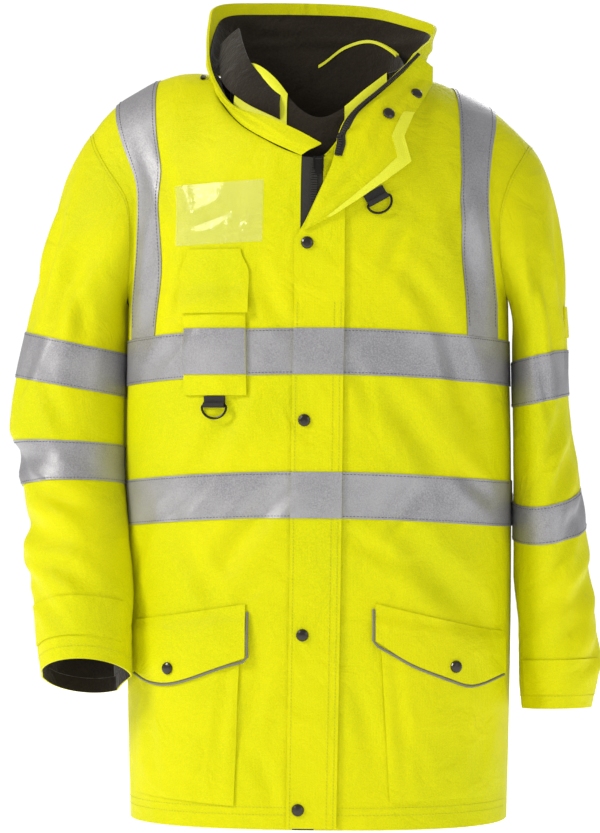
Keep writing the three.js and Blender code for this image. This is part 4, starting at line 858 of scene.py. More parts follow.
@dataclass
class Body:
    """The two fronts and the back, with the tapes sewn round them and over the shoulders."""

    right_edge: float = 6.0
    left_edge: float = 18.0
    brace_inner: float = 170.0
    brace_outer: float = 201.0
    step: float = 4.5

    def rows(self) -> Array:
        """Rows of a whole panel, closer together at the underarm."""
        low = even_rows(BLOCK.hem_z - BLOCK.chest_z, 0, self.step)
        return np.concatenate([low, BLOCK.yoke * np.linspace(0, 1, 46)[1:] ** 1.5])

    def panel(self, name: str, columns: Array, rows: Array, back: bool, lift: float,
              thick: float) -> bpy.types.Object:
        """Makes a shell on the block.

        Args:
            name: the piece's name.
            columns: places across.
            rows: places along.
            back: the back half instead of the front.
            lift: distance of its underside off the panels' face.
            thick: its thickness.

        Returns:
            The piece.
        """
        chest, row = np.meshgrid(columns, rows)
        dipped = BLOCK.dipped(row, chest)
        seam = ((np.abs(chest) >= BLOCK.half) & (row <= 0)) | \
            ((row >= BLOCK.yoke) & (np.abs(chest) >= BLOCK.neck_point))
        play = points(0, seam * (SEAM / 2) * (1 if back else -1), 0)
        outer = BLOCK.cloth(chest, dipped, back, lift + thick) + play
        inner = BLOCK.cloth(chest, dipped, back, lift) + play
        uv = np.stack([BLOCK.run(chest), row], axis=-1)
        return shell(name, outer, inner, uv)

    def front_columns(self, side: Side) -> Array:
        """Places across one front."""
        edge = self.right_edge if side is Side.RIGHT else self.left_edge
        return BLOCK.columns(side.value * edge, side.value * BLOCK.half, self.step)

    def build(self) -> None:
        """Makes the panels and their tapes."""
        rows = self.rows()
        back_columns = BLOCK.columns(-BLOCK.half, BLOCK.half, self.step)
        for side in Side:
            name = f"front_{side.word}"
            front = self.panel(f"{name}_cloth", self.front_columns(side), rows, False, -CLOTH, CLOTH)
            dress(front, [name], [Cloths.YELLOW, Cloths.LINING])
        back = self.panel("back_cloth", back_columns, rows, True, -CLOTH, CLOTH)
        dress(back, ["back"], [Cloths.YELLOW, Cloths.LINING])
        for level, top in TAPE_TOPS.items():
            band = even_rows(top - TAPE_WIDTH - BLOCK.chest_z, top - BLOCK.chest_z, self.step)
            for side in Side:
                node = f"tape_{level}_front_{side.word}"
                tape = self.panel(f"{node}_cloth", self.front_columns(side), band, False, SEAM, TAPE)
                lay_tape(tape, node, f"front_{side.word}")
            node = f"tape_{level}_back"
            tape = self.panel(f"{node}_cloth", back_columns, band, True, SEAM, TAPE)
            lay_tape(tape, node, "back")
        start = TAPE_TOPS["upper"] - BLOCK.chest_z + SEAM
        strap = np.concatenate([even_rows(start, 0, self.step), rows[rows > 0]])
        for side in Side:
            columns = BLOCK.columns(side.value * self.brace_inner, side.value * self.brace_outer, 4)
            for back_half, word in ((False, "front"), (True, "back")):
                node = f"brace_{word}_{side.word}"
                tape = self.panel(f"{node}_cloth", columns, strap, back_half, SEAM, TAPE)
                lay_tape(tape, node, "back" if back_half else f"front_{side.word}")


@dataclass
class Sleeves:
    """The two sleeves with their tapes, cuff tabs, cuff linings and the small pocket's flap."""

    around: int = 84
    step: float = 5.0
    hem_turn: float = 15.0
    lining_deep: float = 75.0
    tapes: tuple[tuple[Side, str, float, float], ...] = (
        (Side.RIGHT, "upper", 295, 345), (Side.RIGHT, "lower", 408, 455),
        (Side.LEFT, "upper", 310, 360), (Side.LEFT, "lower", 461, 505))
    tabs: tuple[tuple[Side, float, float], ...] = ((Side.RIGHT, 592, 636), (Side.LEFT, 646, 684))

    def tube(self, name: str, arm: Arm, downs: Array, lift: float, thick: float) -> bpy.types.Object:
        """Makes a closed ring of cloth on a sleeve.

        Args:
            name: the piece's name.
            arm: the sleeve's form.
            downs: its rows.
            lift: distance of its underside off the sleeve's face.
            thick: its thickness.

        Returns:
            The piece.
        """
        turns = np.linspace(0, 2 * math.pi, self.around + 1)
        down, angle = np.meshgrid(downs, turns[:-1], indexing="ij")
        outer, inner = arm.cloth(down, angle, lift + thick), arm.cloth(down, angle, lift)
        across, along = np.meshgrid(turns * arm.girth, downs)
        return shell(name, outer, inner, np.stack([across, along], axis=-1), wrap=True)

    def patch(self, name: str, arm: Arm, downs: Array, turns: Array, lift: float) -> bpy.types.Object:
        """Makes a piece that lies on part of a sleeve, FLAP_CLOTH thick."""
        down, angle = np.meshgrid(downs, turns, indexing="ij")
        outer, inner = arm.cloth(down, angle, lift + FLAP_CLOTH), arm.cloth(down, angle, lift)
        return shell(name, outer, inner, np.stack([angle * arm.girth, down], axis=-1))

    def build(self) -> None:
        """Makes both sleeves and what lies on them."""
        fine = np.array([0.0, 1.5, 4, 8, 13, 18])
        for side, arm in ARMS.items():
            word = side.word
            rows = np.concatenate([fine, even_rows(24, arm.end, self.step)])
            sleeve = self.tube(f"sleeve_{word}_cloth", arm, rows, -CLOTH, CLOTH)
            dress(sleeve, [f"sleeve_{word}"], [Cloths.YELLOW, Cloths.LINING])
            inner = -CLOTH - LYING - LINING_CLOTH
            deep = even_rows(arm.end - self.lining_deep, arm.end - self.hem_turn, self.step)
            lining = self.tube(f"cuff_lining_{word}_cloth", arm, deep, inner, LINING_CLOTH)
            dress(lining, [f"cuff_lining_{word}"], [Cloths.LINING])
        for side, level, start, stop in self.tapes:
            node = f"tape_{level}_sleeve_{side.word}"
            tape = self.tube(f"{node}_cloth", ARMS[side], even_rows(start, stop, self.step), SEAM, TAPE)
            lay_tape(tape, node, f"sleeve_{side.word}")
        for side, start, stop in self.tabs:
            node = f"cuff_tab_{side.word}"
            turns = np.linspace(1, 8, 30) * math.pi / 10
            tab = self.patch(f"{node}_cloth", ARMS[side], even_rows(start, stop, 4), turns, SEAM)
            dress(tab, [node], [Cloths.YELLOW])
            f"sleeve_{side.word}"
        turns = np.linspace(-1, 1, 10) * math.pi / 10
        flap = self.patch("sleeve_pocket_flap_cloth", ARMS[Side.LEFT], even_rows(250, 296, 4), turns, LYING)
        dress(flap, ["sleeve_pocket_flap"], [Cloths.YELLOW])


def front_shell(name: str, place: Callable[[Array, Array], tuple[Array, Array]],
                lift: Callable[[Array, Array], Array], thick: float, across: Array, down: Array,
                size: tuple[float, float]) -> bpy.types.Object:
    """Makes a piece that lies on the fronts.

    Args:
        name: the piece's name.
        place: gives x and z at u across and v down.
        lift: gives how far its underside stands off the panels' face.
        thick: its thickness.
        across: its columns, 0 to 1.
        down: its rows, 0 to 1.
        size: its width and height in millimetres, for the cloth's own map.

    Returns:
        The piece.
    """
    u, v = np.meshgrid(across, down)
    x, z = place(u, v)
    chest, row = BLOCK.locate(x, z)
    stand = lift(u, v)
    outer, inner = BLOCK.cloth(chest, row, False, stand + thick), BLOCK.cloth(chest, row, False, stand)
    return shell(name, outer, inner, np.stack([u * size[0], -v * size[1]], axis=-1))


def corners(a: tuple, b: tuple, c: tuple, d: tuple) -> Callable[[Array, Array], tuple[Array, Array]]:
    """The plain map of a piece with four corners, from the top by the lower far one."""
    return lambda u, v: tuple(mix(mix(a[i], b[i], u), mix(d[i], c[i], u), v) for i in (0, 1))


def hump(share: Array) -> Array:
    """A full soft rise and fall over 0 to 1."""
    return np.sqrt(np.maximum(0, np.sin(math.pi * share)))


@dataclass
class StormFlap:
    """The flap over the zip with its two tape lengths, and its top turned back."""

    free: float = -12.0
    seam: float = 42.0
    step: float = 4.5
    zip_part: tuple[slice, slice] = np.s_[24:64, 0:4]
    facing_part: tuple[slice, slice] = np.s_[6:44, 20:26]
    folds_on_top: Creases = ((0.45, 0.3, 0.2, 0.12, 30, 2.0), (0.6, 0.72, 0.18, 0.12, -20, 2.2),
                             (0.3, 0.55, 0.16, 0.1, 50, 1.4))
    tops: Table = Table("chest z", (-12, -186), (0, -166), (14, -136), (28, -104), (42, -76))
    turned_lift: float = FLAP_FACE + LYING + 0.3
    folds: tuple = ((-4, -177), (4, -157), (14, -133), (24.5, -107), (30, -84), (33, -70),
                    (42, -139, -54), (70, -107, -25), (94, -82, 1), (112, -62, 21))
    edges: tuple = ((3, -174), (28, -161), (57, -142), (86, -121), (108, -103), (100, -76),
                    (108, -53), (122, -29), (129, -52, -12), (129, -47, 8))

    def flap_grid(self, lift: float) -> Array:
        """The standing part of the flap, up to the line where it turns back."""
        columns = np.linspace(self.free, self.seam, 15)
        chest, row = np.meshgrid(columns, even_rows(BLOCK.hem_z + 2 - BLOCK.chest_z, 0, self.step))
        lower = BLOCK.cloth(chest, BLOCK.dipped(row, chest), False, lift)
        chest, share = np.meshgrid(columns, np.linspace(0, 1, 34)[1:])
        z = mix(BLOCK.chest_z, self.tops.at("z", chest), share)
        chest, row = BLOCK.locate(BLOCK.form(chest, 0.0, False)[..., 0], z)
        return np.concatenate([lower, BLOCK.cloth(chest, row, False, lift)])

    def edge(self, corner: tuple) -> Array:
        """One corner of the turned-back top: on the front, or free where it has three values."""
        if len(corner) == 3:
            return np.array(corner, float)
        return BLOCK.on_front(*corner, self.turned_lift)

    def turned(self) -> tuple[Array, Array]:
        """The turned-back top: its points and the directions out of them."""
        sides = []
        for rows in (self.folds, self.edges):
            line = Table("index x y z", *((i, *self.edge(c)) for i, c in enumerate(rows)))
            at = np.linspace(0, len(rows) - 1, 64)
            sharp = np.stack([np.interp(at, line.key, line.columns[name]) for name in "xyz"], axis=-1)
            sides.append(line.path(at) if rows is self.folds else sharp)
        share = np.linspace(0, 1, 26)[None, :, None]
        grid = mix(sides[0][:, None, :], sides[1][:, None, :], share)
        chest, row = BLOCK.locate(grid[..., 0], grid[..., 2])
        under = BLOCK.cloth(chest, row, False, self.turned_lift)
        seen = BLOCK.form(chest, row, False)
        over = np.abs(seen[..., 0] - grid[..., 0]) + np.abs(seen[..., 2] - grid[..., 2]) < 1
        grid[..., 1] = np.where(over, np.minimum(grid[..., 1], under[..., 1]), grid[..., 1])
        across, along = np.meshgrid(np.linspace(0, 1, 26), np.linspace(0, 1, 64))
        roll = 3.0 * np.sin(math.pi * across) * np.sin(math.pi * along) ** 0.5
        ripple = crease_depth(self.folds_on_top, across, along)
        normals = grid_normals(grid)
        return grid + normals * (roll - np.minimum(ripple, roll))[..., None], normals

    def build(self) -> None:
        """Makes the flap, its tapes and its turned-back top."""
        inner, outer = self.flap_grid(FLAP_LIFT), self.flap_grid(FLAP_FACE)
        across = np.broadcast_to(np.linspace(0, self.seam - self.free, 15), outer.shape[:2])
        flap = shell("storm_flap_cloth", outer, inner, np.stack([across, outer[..., 2]], axis=-1))
        dress(flap, ["storm_flap"], [Cloths.YELLOW])
        columns = np.linspace(self.free, self.seam, 15)
        for level, top in TAPE_TOPS.items():
            band = even_rows(top - TAPE_WIDTH - BLOCK.chest_z, top - BLOCK.chest_z, self.step)
            chest, row = np.meshgrid(columns, band)
            dipped, lift = BLOCK.dipped(row, chest), FLAP_FACE + SEAM
            tape = shell(f"tape_{level}_flap_cloth", BLOCK.cloth(chest, dipped, False, lift + TAPE),
                         BLOCK.cloth(chest, dipped, False, lift), np.stack([chest, row], axis=-1))
            lay_tape(tape, f"tape_{level}_flap", "storm_flap")
        grid, normals = self.turned()
        uv = flat_map(70, 240, 26, 64)
        top = layer("lapel_cloth", grid, normals, 0.0, CLOTH, uv)
        dress(top, ["lapel"], [Cloths.YELLOW])
        tape = layer("zip_tape_left", grid, normals, CLOTH + 0.2, CLOTH + 0.9, uv, self.zip_part)
        dress(tape, ["lapel"], [Cloths.ZIP_CLOTH])
        strip = layer("lapel_facing", grid, normals, CLOTH + 0.1, CLOTH + 0.7, uv, self.facing_part)
        dress(strip, ["lapel"], [Cloths.PALE_YELLOW])


@dataclass
class Collar:
    """The stand collar that holds the rolled hood, and its black lining."""

    cloth: float = 3.0
    roll: float = 4.0
    lap: float = 2.5
    lined: tuple[slice, slice] = np.s_[:21, 10:141]
    creases: Creases = (
        (2.0, 5, 6, 0.55, 30, 2.2), (4.6, 5.5, 7, 0.5, -20, 2.6), (6.4, 6, 6, 0.5, 16, 2.4),
        (9.0, 5, 6, 0.6, -30, 2.2), (11.4, 6, 6, 0.5, 24, 2.2), (13.0, 5, 5, 0.45, 10, 1.8),
        (3.3, 3, 5, 0.4, 70, 1.5), (7.8, 4, 5, 0.5, 74, 1.6))
    stations: tuple = (
        (Side.RIGHT, 6, False, 15, -152, -83), (Side.RIGHT, 42, False, -12, -148, -68),
        (Side.RIGHT, 70, False, -45, -137, -53), (Side.RIGHT, 98, False, -84, -108, -38),
        (Side.RIGHT, 116, False, -108, -74, -12), (Side.RIGHT, 126, False, -121, -44, 22),
        (Side.RIGHT, 98, True, -126, 10, 66), (Side.RIGHT, 70, True, -120, 46, 90),
        (Side.RIGHT, 35, True, -72, 80, 97), (Side.LEFT, 0, True, 0, 94, 97),
        (Side.LEFT, 35, True, 60, 88, 91), (Side.LEFT, 70, True, 104, 62, 76),
        (Side.LEFT, 98, True, 130, 28, 62), (Side.LEFT, 126, False, 128, -12, 44),
        (Side.LEFT, 98, False, 120, -40, 32), (Side.LEFT, 70, False, 112, -57, 22))

    def seam(self, side: Side, chest: float, back: bool) -> Array:
        """One point of the collar's lower edge, which laps over the neck seam."""
        place = np.array(side.value * chest, float)
        top = BLOCK.form(place, BLOCK.yoke, back)
        up = unit(top - BLOCK.form(place, BLOCK.yoke - 3, back))
        out = BLOCK.normal(place, BLOCK.yoke, back)
        return BLOCK.cloth(place, BLOCK.yoke, back) + out * 0.8 - up * self.lap

    def grid(self) -> tuple[Array, Array]:
        """The collar's face: points from the seam up, and the directions out of them."""
        low = Table("index x y z", *((i, *self.seam(*s[:3])) for i, s in enumerate(self.stations)))
        high = Table("index x y z", *((i, *s[3:]) for i, s in enumerate(self.stations)))
        at = np.linspace(0, len(self.stations) - 1, 151)
        base, top = low.path(at), high.path(at)
        share = np.linspace(0, 1, 25)
        away = unit(points(base[:, 0], base[:, 1] + 30, 0))
        grid = mix(base[None], top[None], share[:, None, None])
        grid = grid + away[None] * (self.roll * np.sin(math.pi * share))[:, None, None]
        across, along = np.meshgrid(at, share * 10)
        folds = crease_depth(self.creases, across, along)
        normals = grid_normals(grid, -1)
        return grid - normals * (folds * np.sin(math.pi * share)[:, None])[..., None], normals

    def build(self) -> None:
        """Makes the collar and its lining."""
        grid, normals = self.grid()
        uv = flat_map(620, 90, 151, 25)
        collar = layer("collar_cloth", grid, normals, -self.cloth, 0.0, uv)
        dress(collar, ["collar"], [Cloths.YELLOW])
        start = self.cloth + SEAM
        lining = layer("collar_lining_cloth", grid, normals, -start - LINING_CLOTH, -start, uv, self.lined)
        dress(lining, ["collar_lining"], [Cloths.LINING])


@dataclass
class Pockets:
    """The two lower pockets with pointed flaps, the phone pocket and the clear window pocket."""

    puff: float = 3.0
    phone_puff: float = 4.0
    phone: tuple[float, float, float, float] = (-136, -67, -258, -354)
    phone_flap: tuple[float, float] = (-196, -265)
    phone_middle: float = -101.5
    window: tuple = ((-150, -126), (-48, -121), (-49, -188), (-145, -192))
    bellows: Creases = ((0.14, 0.55, 0.5, 0.05, 4, 2.4), (0.3, 0.8, 0.2, 0.06, 30, 1.6),
                        (0.82, 0.7, 0.3, 0.06, -12, 1.8))
    tops: tuple = (((-72, -604), (-190, -618)), ((78, -604), (202, -626)))
    bottoms: tuple = (((-80, -797), (-194, -790)), ((88, -792), (202, -790)))
    flap_tops: tuple = (((-67, -579), (-194, -600)), ((73, -578), (206, -612)))
    flap_points: tuple[Table, ...] = (
        Table("u z", (0, -637), (0.24, -648), (0.62, -665), (0.84, -665), (1, -656)),
        Table("u z", (0, -618), (0.26, -641), (0.55, -658), (0.74, -667), (1, -657)))

    def lower(self, side: Side) -> None:
        """Makes one lower pocket and its flap."""
        i = 0 if side is Side.RIGHT else 1
        top, bottom, flap_top, line = self.tops[i], self.bottoms[i], self.flap_tops[i], self.flap_points[i]
        across, down = np.linspace(0, 1, 30), np.linspace(0, 1, 44)

        def bag_lift(u: Array, v: Array) -> Array:
            """The bag stands off in its middle, with bellows folds near its inner edge."""
            puffed = LYING + self.puff * hump(u) * hump(v)
            return np.maximum(puffed - crease_depth(self.bellows, u, v) * hump(v), LYING)

        bag = front_shell(f"pocket_{side.word}_cloth", corners(top[0], top[1], bottom[1], bottom[0]),
                          bag_lift, FLAP_CLOTH, across, down, (120, 185))
        dress(bag, [f"pocket_{side.word}"], [Cloths.YELLOW])
        f"front_{side.word}"

        def place(u: Array, v: Array) -> tuple[Array, Array]:
            """The flap, from its sewn edge to its pointed one."""
            high = mix(flap_top[0][1], flap_top[1][1], u)
            return mix(flap_top[0][0], flap_top[1][0], u), mix(high, line.at("z", u), v)

        def lift(u: Array, v: Array) -> Array:
            """The flap drops from the panel on to the bag."""
            _, z = place(u, v)
            start = mix(top[0][1], top[1][1], u)
            over = 1 - smooth(3, 16, z - start)
            low = np.clip((start - z) / 180, 0, 1)
            full = self.puff * np.maximum(hump(u), 0.35) * hump(0.08 + low)
            return LYING + over * (FLAP_CLOTH + LYING + full)

        flap = front_shell(f"pocket_flap_{side.word}_cloth", place, lift, FLAP_CLOTH, across,
                           np.linspace(0, 1, 18), (130, 60))
        dress(flap, [f"pocket_flap_{side.word}"], [Cloths.YELLOW])
        f"pocket_{side.word}"

    def build(self) -> None:
        """Makes all the pockets."""
        for side in Side:
            self.lower(side)
        left, right, high, low = self.phone
        place = corners((left, high), (right, high), (right + 1, low), (left + 1, low))
        across, down = np.linspace(0, 1, 20), np.linspace(0, 1, 26)

        def lift(u: Array, v: Array) -> Array:
            """The phone pocket's full shape."""
            return FLAP_LIFT + self.phone_puff * hump(u) * hump(0.12 + v * 0.88)

        bag = front_shell("phone_pocket_cloth", place, lift, FLAP_CLOTH, across, down, (69, 96))
        dress(bag, ["phone_pocket"], [Cloths.YELLOW])
        start = high - TAPE_TOPS["upper"]
        band = np.linspace(start, start + TAPE_WIDTH, 14) / (high - low)
        tape = front_shell("tape_phone_pocket_cloth", place, lambda u, v: lift(u, v) + FLAP_CLOTH + LYING,
                           TAPE, across, band, (69, 96))
        lay_tape(tape, "tape_phone_pocket", "phone_pocket")

        def flap_place(u: Array, v: Array) -> tuple[Array, Array]:
            """The phone pocket's flap widens below its shoulders."""
            z = mix(*self.phone_flap, v)
            return self.phone_middle + mix(29, 38, 1 - smooth(-222, -196, z)) * (2 * u - 1), z

        def flap_lift(u: Array, v: Array) -> Array:
            """The flap lies on the panel and then on the pocket."""
            over = 1 - smooth(high - 2, high + 28, mix(*self.phone_flap, v))
            full = self.phone_puff * hump(0.1 + 0.8 * u) * 0.75
            return LYING + over * (FLAP_LIFT + FLAP_CLOTH + LYING + full)

        flap = front_shell("phone_flap_cloth", flap_place, flap_lift, FLAP_CLOTH, across, down, (76, 69))
        dress(flap, ["phone_flap"], [Cloths.YELLOW])
        window = front_shell("id_window_sheet", corners(*self.window),
                             lambda u, v: LYING + 0.8 * hump(u) * hump(v), 0.8, np.linspace(0, 1, 24),
                             np.linspace(0, 1, 18), (98, 66))
        dress(window, ["id_window"], [Cloths.WINDOW])


@dataclass
class Warmer:
    """The top of the body warmer that shows in the neck, with its two facings."""

    low: float = -205.0
    panel_bow: float = 5.0
    facing_parts: tuple = ((Side.RIGHT, np.s_[0:12, 0:24], (0.09, 0.06)),
                           (Side.LEFT, np.s_[0:12, 46:64], (0.06, 0.06)))
    rim: tuple[slice, slice] = np.s_[-3:, 46:76]
    front: Table = Table(
        "index x y z low", (0, -84, -60, 12, -92), (1, -62, -82, 9, -66), (2, -40, -98, -8, -38),
        (3, -14, -111, -40, -12), (4, 10, -114, -52, 12), (5, 34, -104, -42, 38),
        (6, 58, -86, -20, 64), (7, 80, -62, 0, 88))
    back: Table = Table(
        "index x y z", (0, -84.6, -59.3, 2), (1, -95, -24, 10), (2, -92, 16, 22), (3, -76, 42, 30),
        (4, -44, 64, 26), (5, -10, 71, 22), (6, 24, 69, 44), (7, 54, 59, 50), (8, 80, 36, 36),
        (9, 93, 4, 18), (10, 90, -30, 8), (11, 80.7, -61.3, 0.7))
    panel_low: Table = Table("index x y z", (0, -33, -118, -54), (1, -72, -100, -34), (2, -98, -70, -12),
                             (3, -108, -34, 14), (4, -111, 2, 40))
    panel_high: Table = Table("index x y z", (0, -33, -108, -27), (1, -52, -97, -8), (2, -69, -80, 13),
                              (3, -79, -56, 34), (4, -87, -26, 56))

    def neck_panel(self) -> None:
        """Makes the lining's panel that stands inside the collar on the wearer's right."""
        at = np.linspace(0, 4, 40)
        share = np.linspace(0, 1, 14)[:, None, None]
        grid = mix(self.panel_low.path(at)[None], self.panel_high.path(at)[None], share)
        grid[..., 1] -= self.panel_bow * np.sin(math.pi * share[..., 0])
        panel = layer("neck_lining_panel", grid, grid_normals(grid, -1), -1.0, 1.0, flat_map(170, 40, 40, 14))
        dress(panel, ["collar_lining"], [Cloths.LINING])

    def build(self) -> None:
        """Makes the front with its facings, and the back."""
        at = np.linspace(0, 7, 64)
        x, y, z, low = (self.front.at(name, at) for name in ("x", "y", "z", "low"))
        hem = BLOCK.on_front(low, np.full_like(low, self.low), -CLOTH - LYING - SEAM)
        share = np.linspace(0, 1, 40)[:, None]
        grid = points(mix(x, low, share), mix(y, hem[:, 1], share ** 0.7), mix(z, self.low, share))
        normals = grid_normals(grid, -1)
        uv = flat_map(200, 200, 64, 40)
        front = layer("warmer_front_cloth", grid, normals, -CLOTH, 0.0, uv)
        dress(front, ["warmer_front"], [Cloths.LINING])
        for side, part, flat in self.facing_parts:
            facing = layer(f"facing_{side.word}_cloth", grid, normals, LYING, LYING + TAPE, uv, part)
            dress(facing, [f"facing_{side.word}"], [Cloths.PALE_YELLOW])
        at = np.linspace(0, 11, 100)
        x, y, z = (self.back.at(name, at) for name in ("x", "y", "z"))
        grid = points(x, y, mix(z, -62, np.linspace(0, 1, 22)[:, None]))
        normals = grid_normals(grid, -1)
        uv = flat_map(330, 85, 100, 22)
        back = layer("warmer_back_cloth", grid, normals, -CLOTH, 0.0, uv)
        dress(back, ["warmer_back"], [Cloths.LINING])
        high = points(x, y, mix(z, z - 3.5, np.linspace(0, 1, 3)[:, None]))[:, self.rim[1]] + [0, 0, 1.2]
        edge = layer("warmer_back_edge", high, normals[self.rim], -CLOTH - 0.9, 0.9, uv[self.rim])
        dress(edge, ["warmer_back"], [Cloths.PALE_YELLOW])
        self.neck_panel()


@dataclass
class Hardware:
    """Snaps, rings, webbing, piping and the zip's metal: their solids, with real finishes."""

    finishes: tuple[tuple[str, Cloths], ...] = (
        ("snap_", Cloths.SNAP), ("d_ring_", Cloths.METAL), ("ring_tab_", Cloths.WEBBING),
        ("zip_slider", Cloths.METAL), ("zip_pull", Cloths.METAL), ("hood_pull", Cloths.METAL),
        ("piping_", Cloths.PIPING), ("zip_chain", Cloths.ZIP_CLOTH))

    def build(self) -> None:
        """Gives each solid of these kinds its finish."""
        for name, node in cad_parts.items():
            for start, finish in self.finishes:
                if name.startswith(start):
                    node.data.materials.clear()
                    node.data.materials.append(finish.made)
                    log.info("%s: %s", name, finish.value.name)


@dataclass
class Sewing:
    """Stitches and zip teeth, set along lines by Geometry Nodes."""

    pitch: float = 0.0038
    long: float = 0.0014
    thick: float = 0.00038
    inset: float = 2.5
    on_tape: float = SEAM + TAPE + 0.2
    flap_rows: tuple[float, ...] = (-8.5, 38.0, 31.0)
    hem_rows: tuple[float, ...] = (-806.0, -798.0)
    brace_rows: tuple[float, ...] = (172.5, 198.5)
    spans: tuple = ((False, -209, -14), (False, 44, 209), (True, -209, 209))
    teeth_rows: tuple[float, ...] = (6.4, 9.6)
    teeth_top: float = -108.0

    def tree(self, name: str, finish: Cloths, box: bool) -> bpy.types.NodeTree:
        """Builds the tree that sets small beads along lines.

        Args:
            name: the tree's name.
            finish: the beads' finish.
            box: teeth in place of stitches.

        Returns:
            The tree, with inputs for pitch, length, width and height.
        """
        group = bpy.data.node_groups.new(name, "GeometryNodeTree")
        face = group.interface
        face.new_socket("Geometry", in_out="INPUT", socket_type="NodeSocketGeometry")
        for label in ("Pitch", "Length", "Width", "Height"):
            face.new_socket(label, in_out="INPUT", socket_type="NodeSocketFloat")
        face.new_socket("Geometry", in_out="OUTPUT", socket_type="NodeSocketGeometry")
        tree = Tree(group)
        given = tree.add("NodeGroupInput").outputs
        line = tree.add("GeometryNodeMeshToCurve", {"Mesh": given["Geometry"]})
        even = tree.add("GeometryNodeResampleCurve", {"Curve": line.outputs[0], "Length": given["Pitch"]},
                        mode="LENGTH")
        tangent = tree.add("GeometryNodeInputTangent")
        turn = tree.add("FunctionNodeAlignRotationToVector", {"Vector": tangent.outputs[0]}, axis="Z")
        if box:
            bead = tree.add("GeometryNodeMeshCube", {"Size": (2.0, 2.0, 2.0)})
        else:
            bead = tree.add("GeometryNodeMeshUVSphere", {"Segments": 6, "Rings": 4})
        size = tree.add("ShaderNodeCombineXYZ", {"X": given["Width"], "Y": given["Height"],
                                                 "Z": given["Length"]})
        beads = tree.add("GeometryNodeInstanceOnPoints", {
            "Points": even.outputs[0], "Instance": bead.outputs[0], "Rotation": turn.outputs[0],
            "Scale": size.outputs[0]})
        real = tree.add("GeometryNodeRealizeInstances", {"Geometry": beads.outputs[0]})
        done = tree.add("GeometryNodeSetMaterial", {"Geometry": real.outputs[0], "Material": finish.made})
        tree.add("NodeGroupOutput", {"Geometry": done.outputs[0]})
        return group

    def sew(self, name: str, lines: Sequence[Array], finish: Cloths, pitch: float,
            sizes: tuple[float, float, float], box: bool = False) -> None:
        """Sets beads along lines and keeps the result as a plain mesh.

        Args:
            name: the piece's name.
            lines: rows of points in millimetres.
            finish: the beads' finish.
            pitch: distance from bead to bead.
            sizes: their half length, width and height.
            box: teeth in place of stitches.
        """
        ends = np.cumsum([0] + [len(line) for line in lines])
        edges = [(i, i + 1) for a, b in zip(ends[:-1], ends[1:]) for i in range(a, b - 1)]
        mesh = bpy.data.meshes.new(name)
        mesh.from_pydata((np.concatenate(lines) * MM).tolist(), edges, [])
        obj = bpy.data.objects.new(name, mesh)
        bpy.context.collection.objects.link(obj)
        group = self.tree(name, finish, box)
        modifier = obj.modifiers.new("beads", "NODES")
        modifier.node_group = group
        values = dict(zip(("Pitch", "Length", "Width", "Height"), (pitch, *sizes)))
        for item in group.interface.items_tree:
            if item.in_out == "INPUT" and item.name in values:
                modifier[item.identifier] = values[item.name]
        ready = obj.evaluated_get(bpy.context.evaluated_depsgraph_get())
        obj.data = bpy.data.meshes.new_from_object(ready)
        obj.modifiers.clear()
        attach(obj, "jacket")
        log.info("%s: %d faces", name, len(obj.data.polygons))

    def build(self) -> None:
        """Sews the main seams and sets the zip's teeth."""
        yellow, grey = [], []
        rows = np.linspace(BLOCK.hem_z + 3 - BLOCK.chest_z, 0, 150)
        for chest in self.flap_rows:
            line = BLOCK.dipped(rows, chest)
            yellow.append(BLOCK.cloth(np.full_like(rows, chest), line, False, FLAP_FACE + SEAM))
        for back, low, high in self.spans:
            chest = np.linspace(low, high, 140)
            for level in self.hem_rows:
                yellow.append(BLOCK.cloth(chest, np.full_like(chest, level - BLOCK.chest_z), back, SEAM))
            for top in TAPE_TOPS.values():
                for off in (self.inset, TAPE_WIDTH - self.inset):
                    row = np.full_like(chest, top - off - BLOCK.chest_z)
                    grey.append(BLOCK.cloth(chest, BLOCK.dipped(row, chest), back, self.on_tape))
        strap = np.linspace(TAPE_TOPS["upper"] - BLOCK.chest_z + 4, BLOCK.yoke - 2, 80)
        for side in Side:
            for chest in self.brace_rows:
                place = np.full_like(strap, side.value * chest)
                for back in (False, True):
                    grey.append(BLOCK.cloth(place, strap, back, self.on_tape))
        turns = np.linspace(0, 2 * math.pi, 90)
        for side, _, start, stop in Sleeves().tapes:
            for down in (start + self.inset, stop - self.inset):
                grey.append(ARMS[side].cloth(np.full_like(turns, down), turns, self.on_tape))
        for side, arm in ARMS.items():
            yellow.append(arm.cloth(np.full_like(turns, arm.end - 14.0), turns, SEAM))
            arch = np.linspace(0.02, 2 * math.pi - 0.02, 120)
            yellow.append(arm.cloth(np.full_like(arch, 6.0), arch, SEAM))
        sizes = (self.long, self.thick, self.thick)
        self.sew("yellow_stitches", yellow, Cloths.YELLOW_THREAD, self.pitch, sizes)
        self.sew("grey_stitches", grey, Cloths.GREY_THREAD, self.pitch, sizes)
        row = np.linspace(-20, 200, 120)
        row = row[BLOCK.form(np.full_like(row, 8.0), row, False)[:, 2] < self.teeth_top]
        teeth = [BLOCK.cloth(np.full_like(row, chest), row, False, 0.5) for chest in self.teeth_rows]
        grid, normals = StormFlap().turned()
        teeth.append((grid + normals * (CLOTH + 1.6))[24:64, 1])
        self.sew("zip_teeth", teeth, Cloths.TEETH, 0.0026, (0.0008, 0.0019, 0.0011), True)


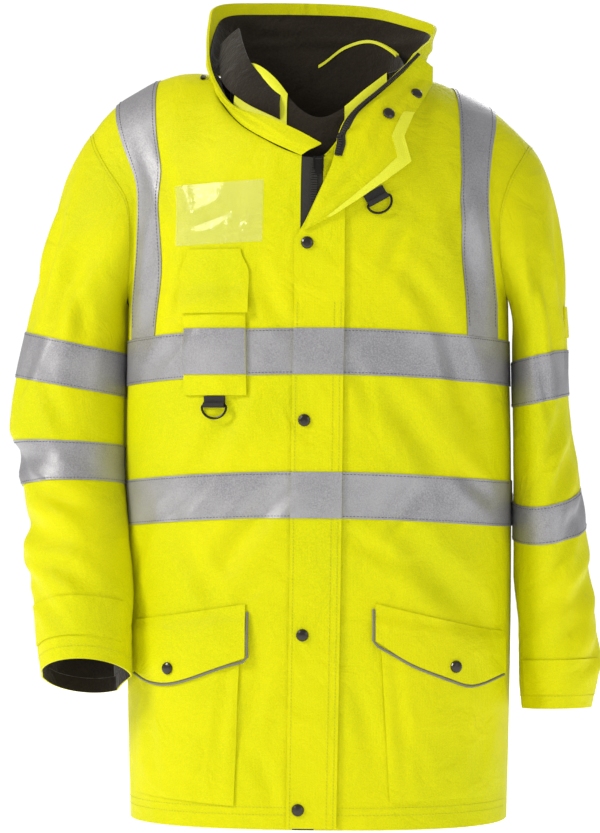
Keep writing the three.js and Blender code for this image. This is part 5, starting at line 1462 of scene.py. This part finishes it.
@dataclass
class Studio:
    """The pale floor, the soft lights and the camera at the photograph's angle."""

    azimuth: float = 5.0
    height: float = -0.377
    away: float = 3.65
    aside: float = -0.021
    lens: float = 140.7
    floor_z: float = -0.86
    floor_reach: float = 6.0
    middle: tuple[float, float, float] = (0.0, 0.0, -0.4)
    lights: tuple = (("key", (-2.6, -1.7, 1.5), 0.9, 74, (1.0, 0.97, 0.92)),
                     ("fill", (2.4, -2.2, 0.4), 1.6, 14, (1.0, 1.0, 1.0)),
                     ("back", (0.6, 2.6, 1.4), 1.8, 40, (1.0, 1.0, 1.0)))
    room_light: float = 0.40
    room_seen: float = 1.05

    def camera(self) -> None:
        """Makes the scene's camera."""
        turn = math.radians(self.azimuth)
        data = bpy.data.cameras.new("photo_camera")
        data.lens = self.lens
        obj = bpy.data.objects.new("photo_camera", data)
        obj.rotation_euler = (math.pi / 2, 0, turn)
        obj.location = (math.sin(turn) * self.away + math.cos(turn) * self.aside,
                        -math.cos(turn) * self.away + math.sin(turn) * self.aside, self.height)
        bpy.context.collection.objects.link(obj)
        bpy.context.scene.camera = obj

    def light(self, name: str, place: tuple[float, float, float], size: float, power: float,
              colour: tuple[float, float, float]) -> None:
        """Makes a square soft light that looks at the jacket's middle."""
        data = bpy.data.lights.new(name, "AREA")
        data.size, data.energy, data.color = size, power, colour
        obj = bpy.data.objects.new(name, data)
        obj.location = place
        aim = np.array(self.middle) - np.array(place)
        flat = math.hypot(aim[0], aim[1])
        obj.rotation_euler = (math.atan2(flat, -aim[2]), 0, math.atan2(-aim[0], aim[1]))
        bpy.context.collection.objects.link(obj)

    def build(self) -> None:
        """Makes the floor, the world and the lights."""
        turns = np.linspace(0, 2 * math.pi, 65)[:-1]
        ring = points(self.floor_reach * np.cos(turns), self.floor_reach * np.sin(turns), self.floor_z)
        floor = mesh_object("floor", ring, np.arange(64)[None])
        finish = Finish("pale_floor", (250, 250, 250), (246, 246, 246), 0.7, glow=0.7)
        floor.data.materials.append(finish.material())
        scene = bpy.context.scene
        scene.view_settings.view_transform = "Standard"
        world = bpy.data.worlds.new("white_room")
        scene.world = world
        world.use_nodes = True
        tree = Tree(world.node_tree)
        seen = tree.add("ShaderNodeLightPath").outputs["Is Camera Ray"]
        level = tree.add("ShaderNodeMapRange", {"Value": seen, "To Min": self.room_light,
                                                  "To Max": self.room_seen})
        room = tree.add("ShaderNodeBackground", {"Color": (0.985, 0.99, 1.0, 1),
                                                 "Strength": level.outputs[0]})
        tree.add("ShaderNodeOutputWorld", {"Surface": room.outputs[0]})
        for light in self.lights:
            self.light(*light)


def main() -> None:
    """Builds the jacket piece by piece in its studio."""
    logging.basicConfig(level=logging.INFO, format="%(message)s")
    studio = Studio()
    studio.camera()
    for part in (Body(), Sleeves(), StormFlap(), Collar(), Pockets(), Warmer(), Hardware(), Sewing(), studio):
        log.info("building %s", type(part).__name__)
        part.build()


if __name__ == "__main__":
    main()
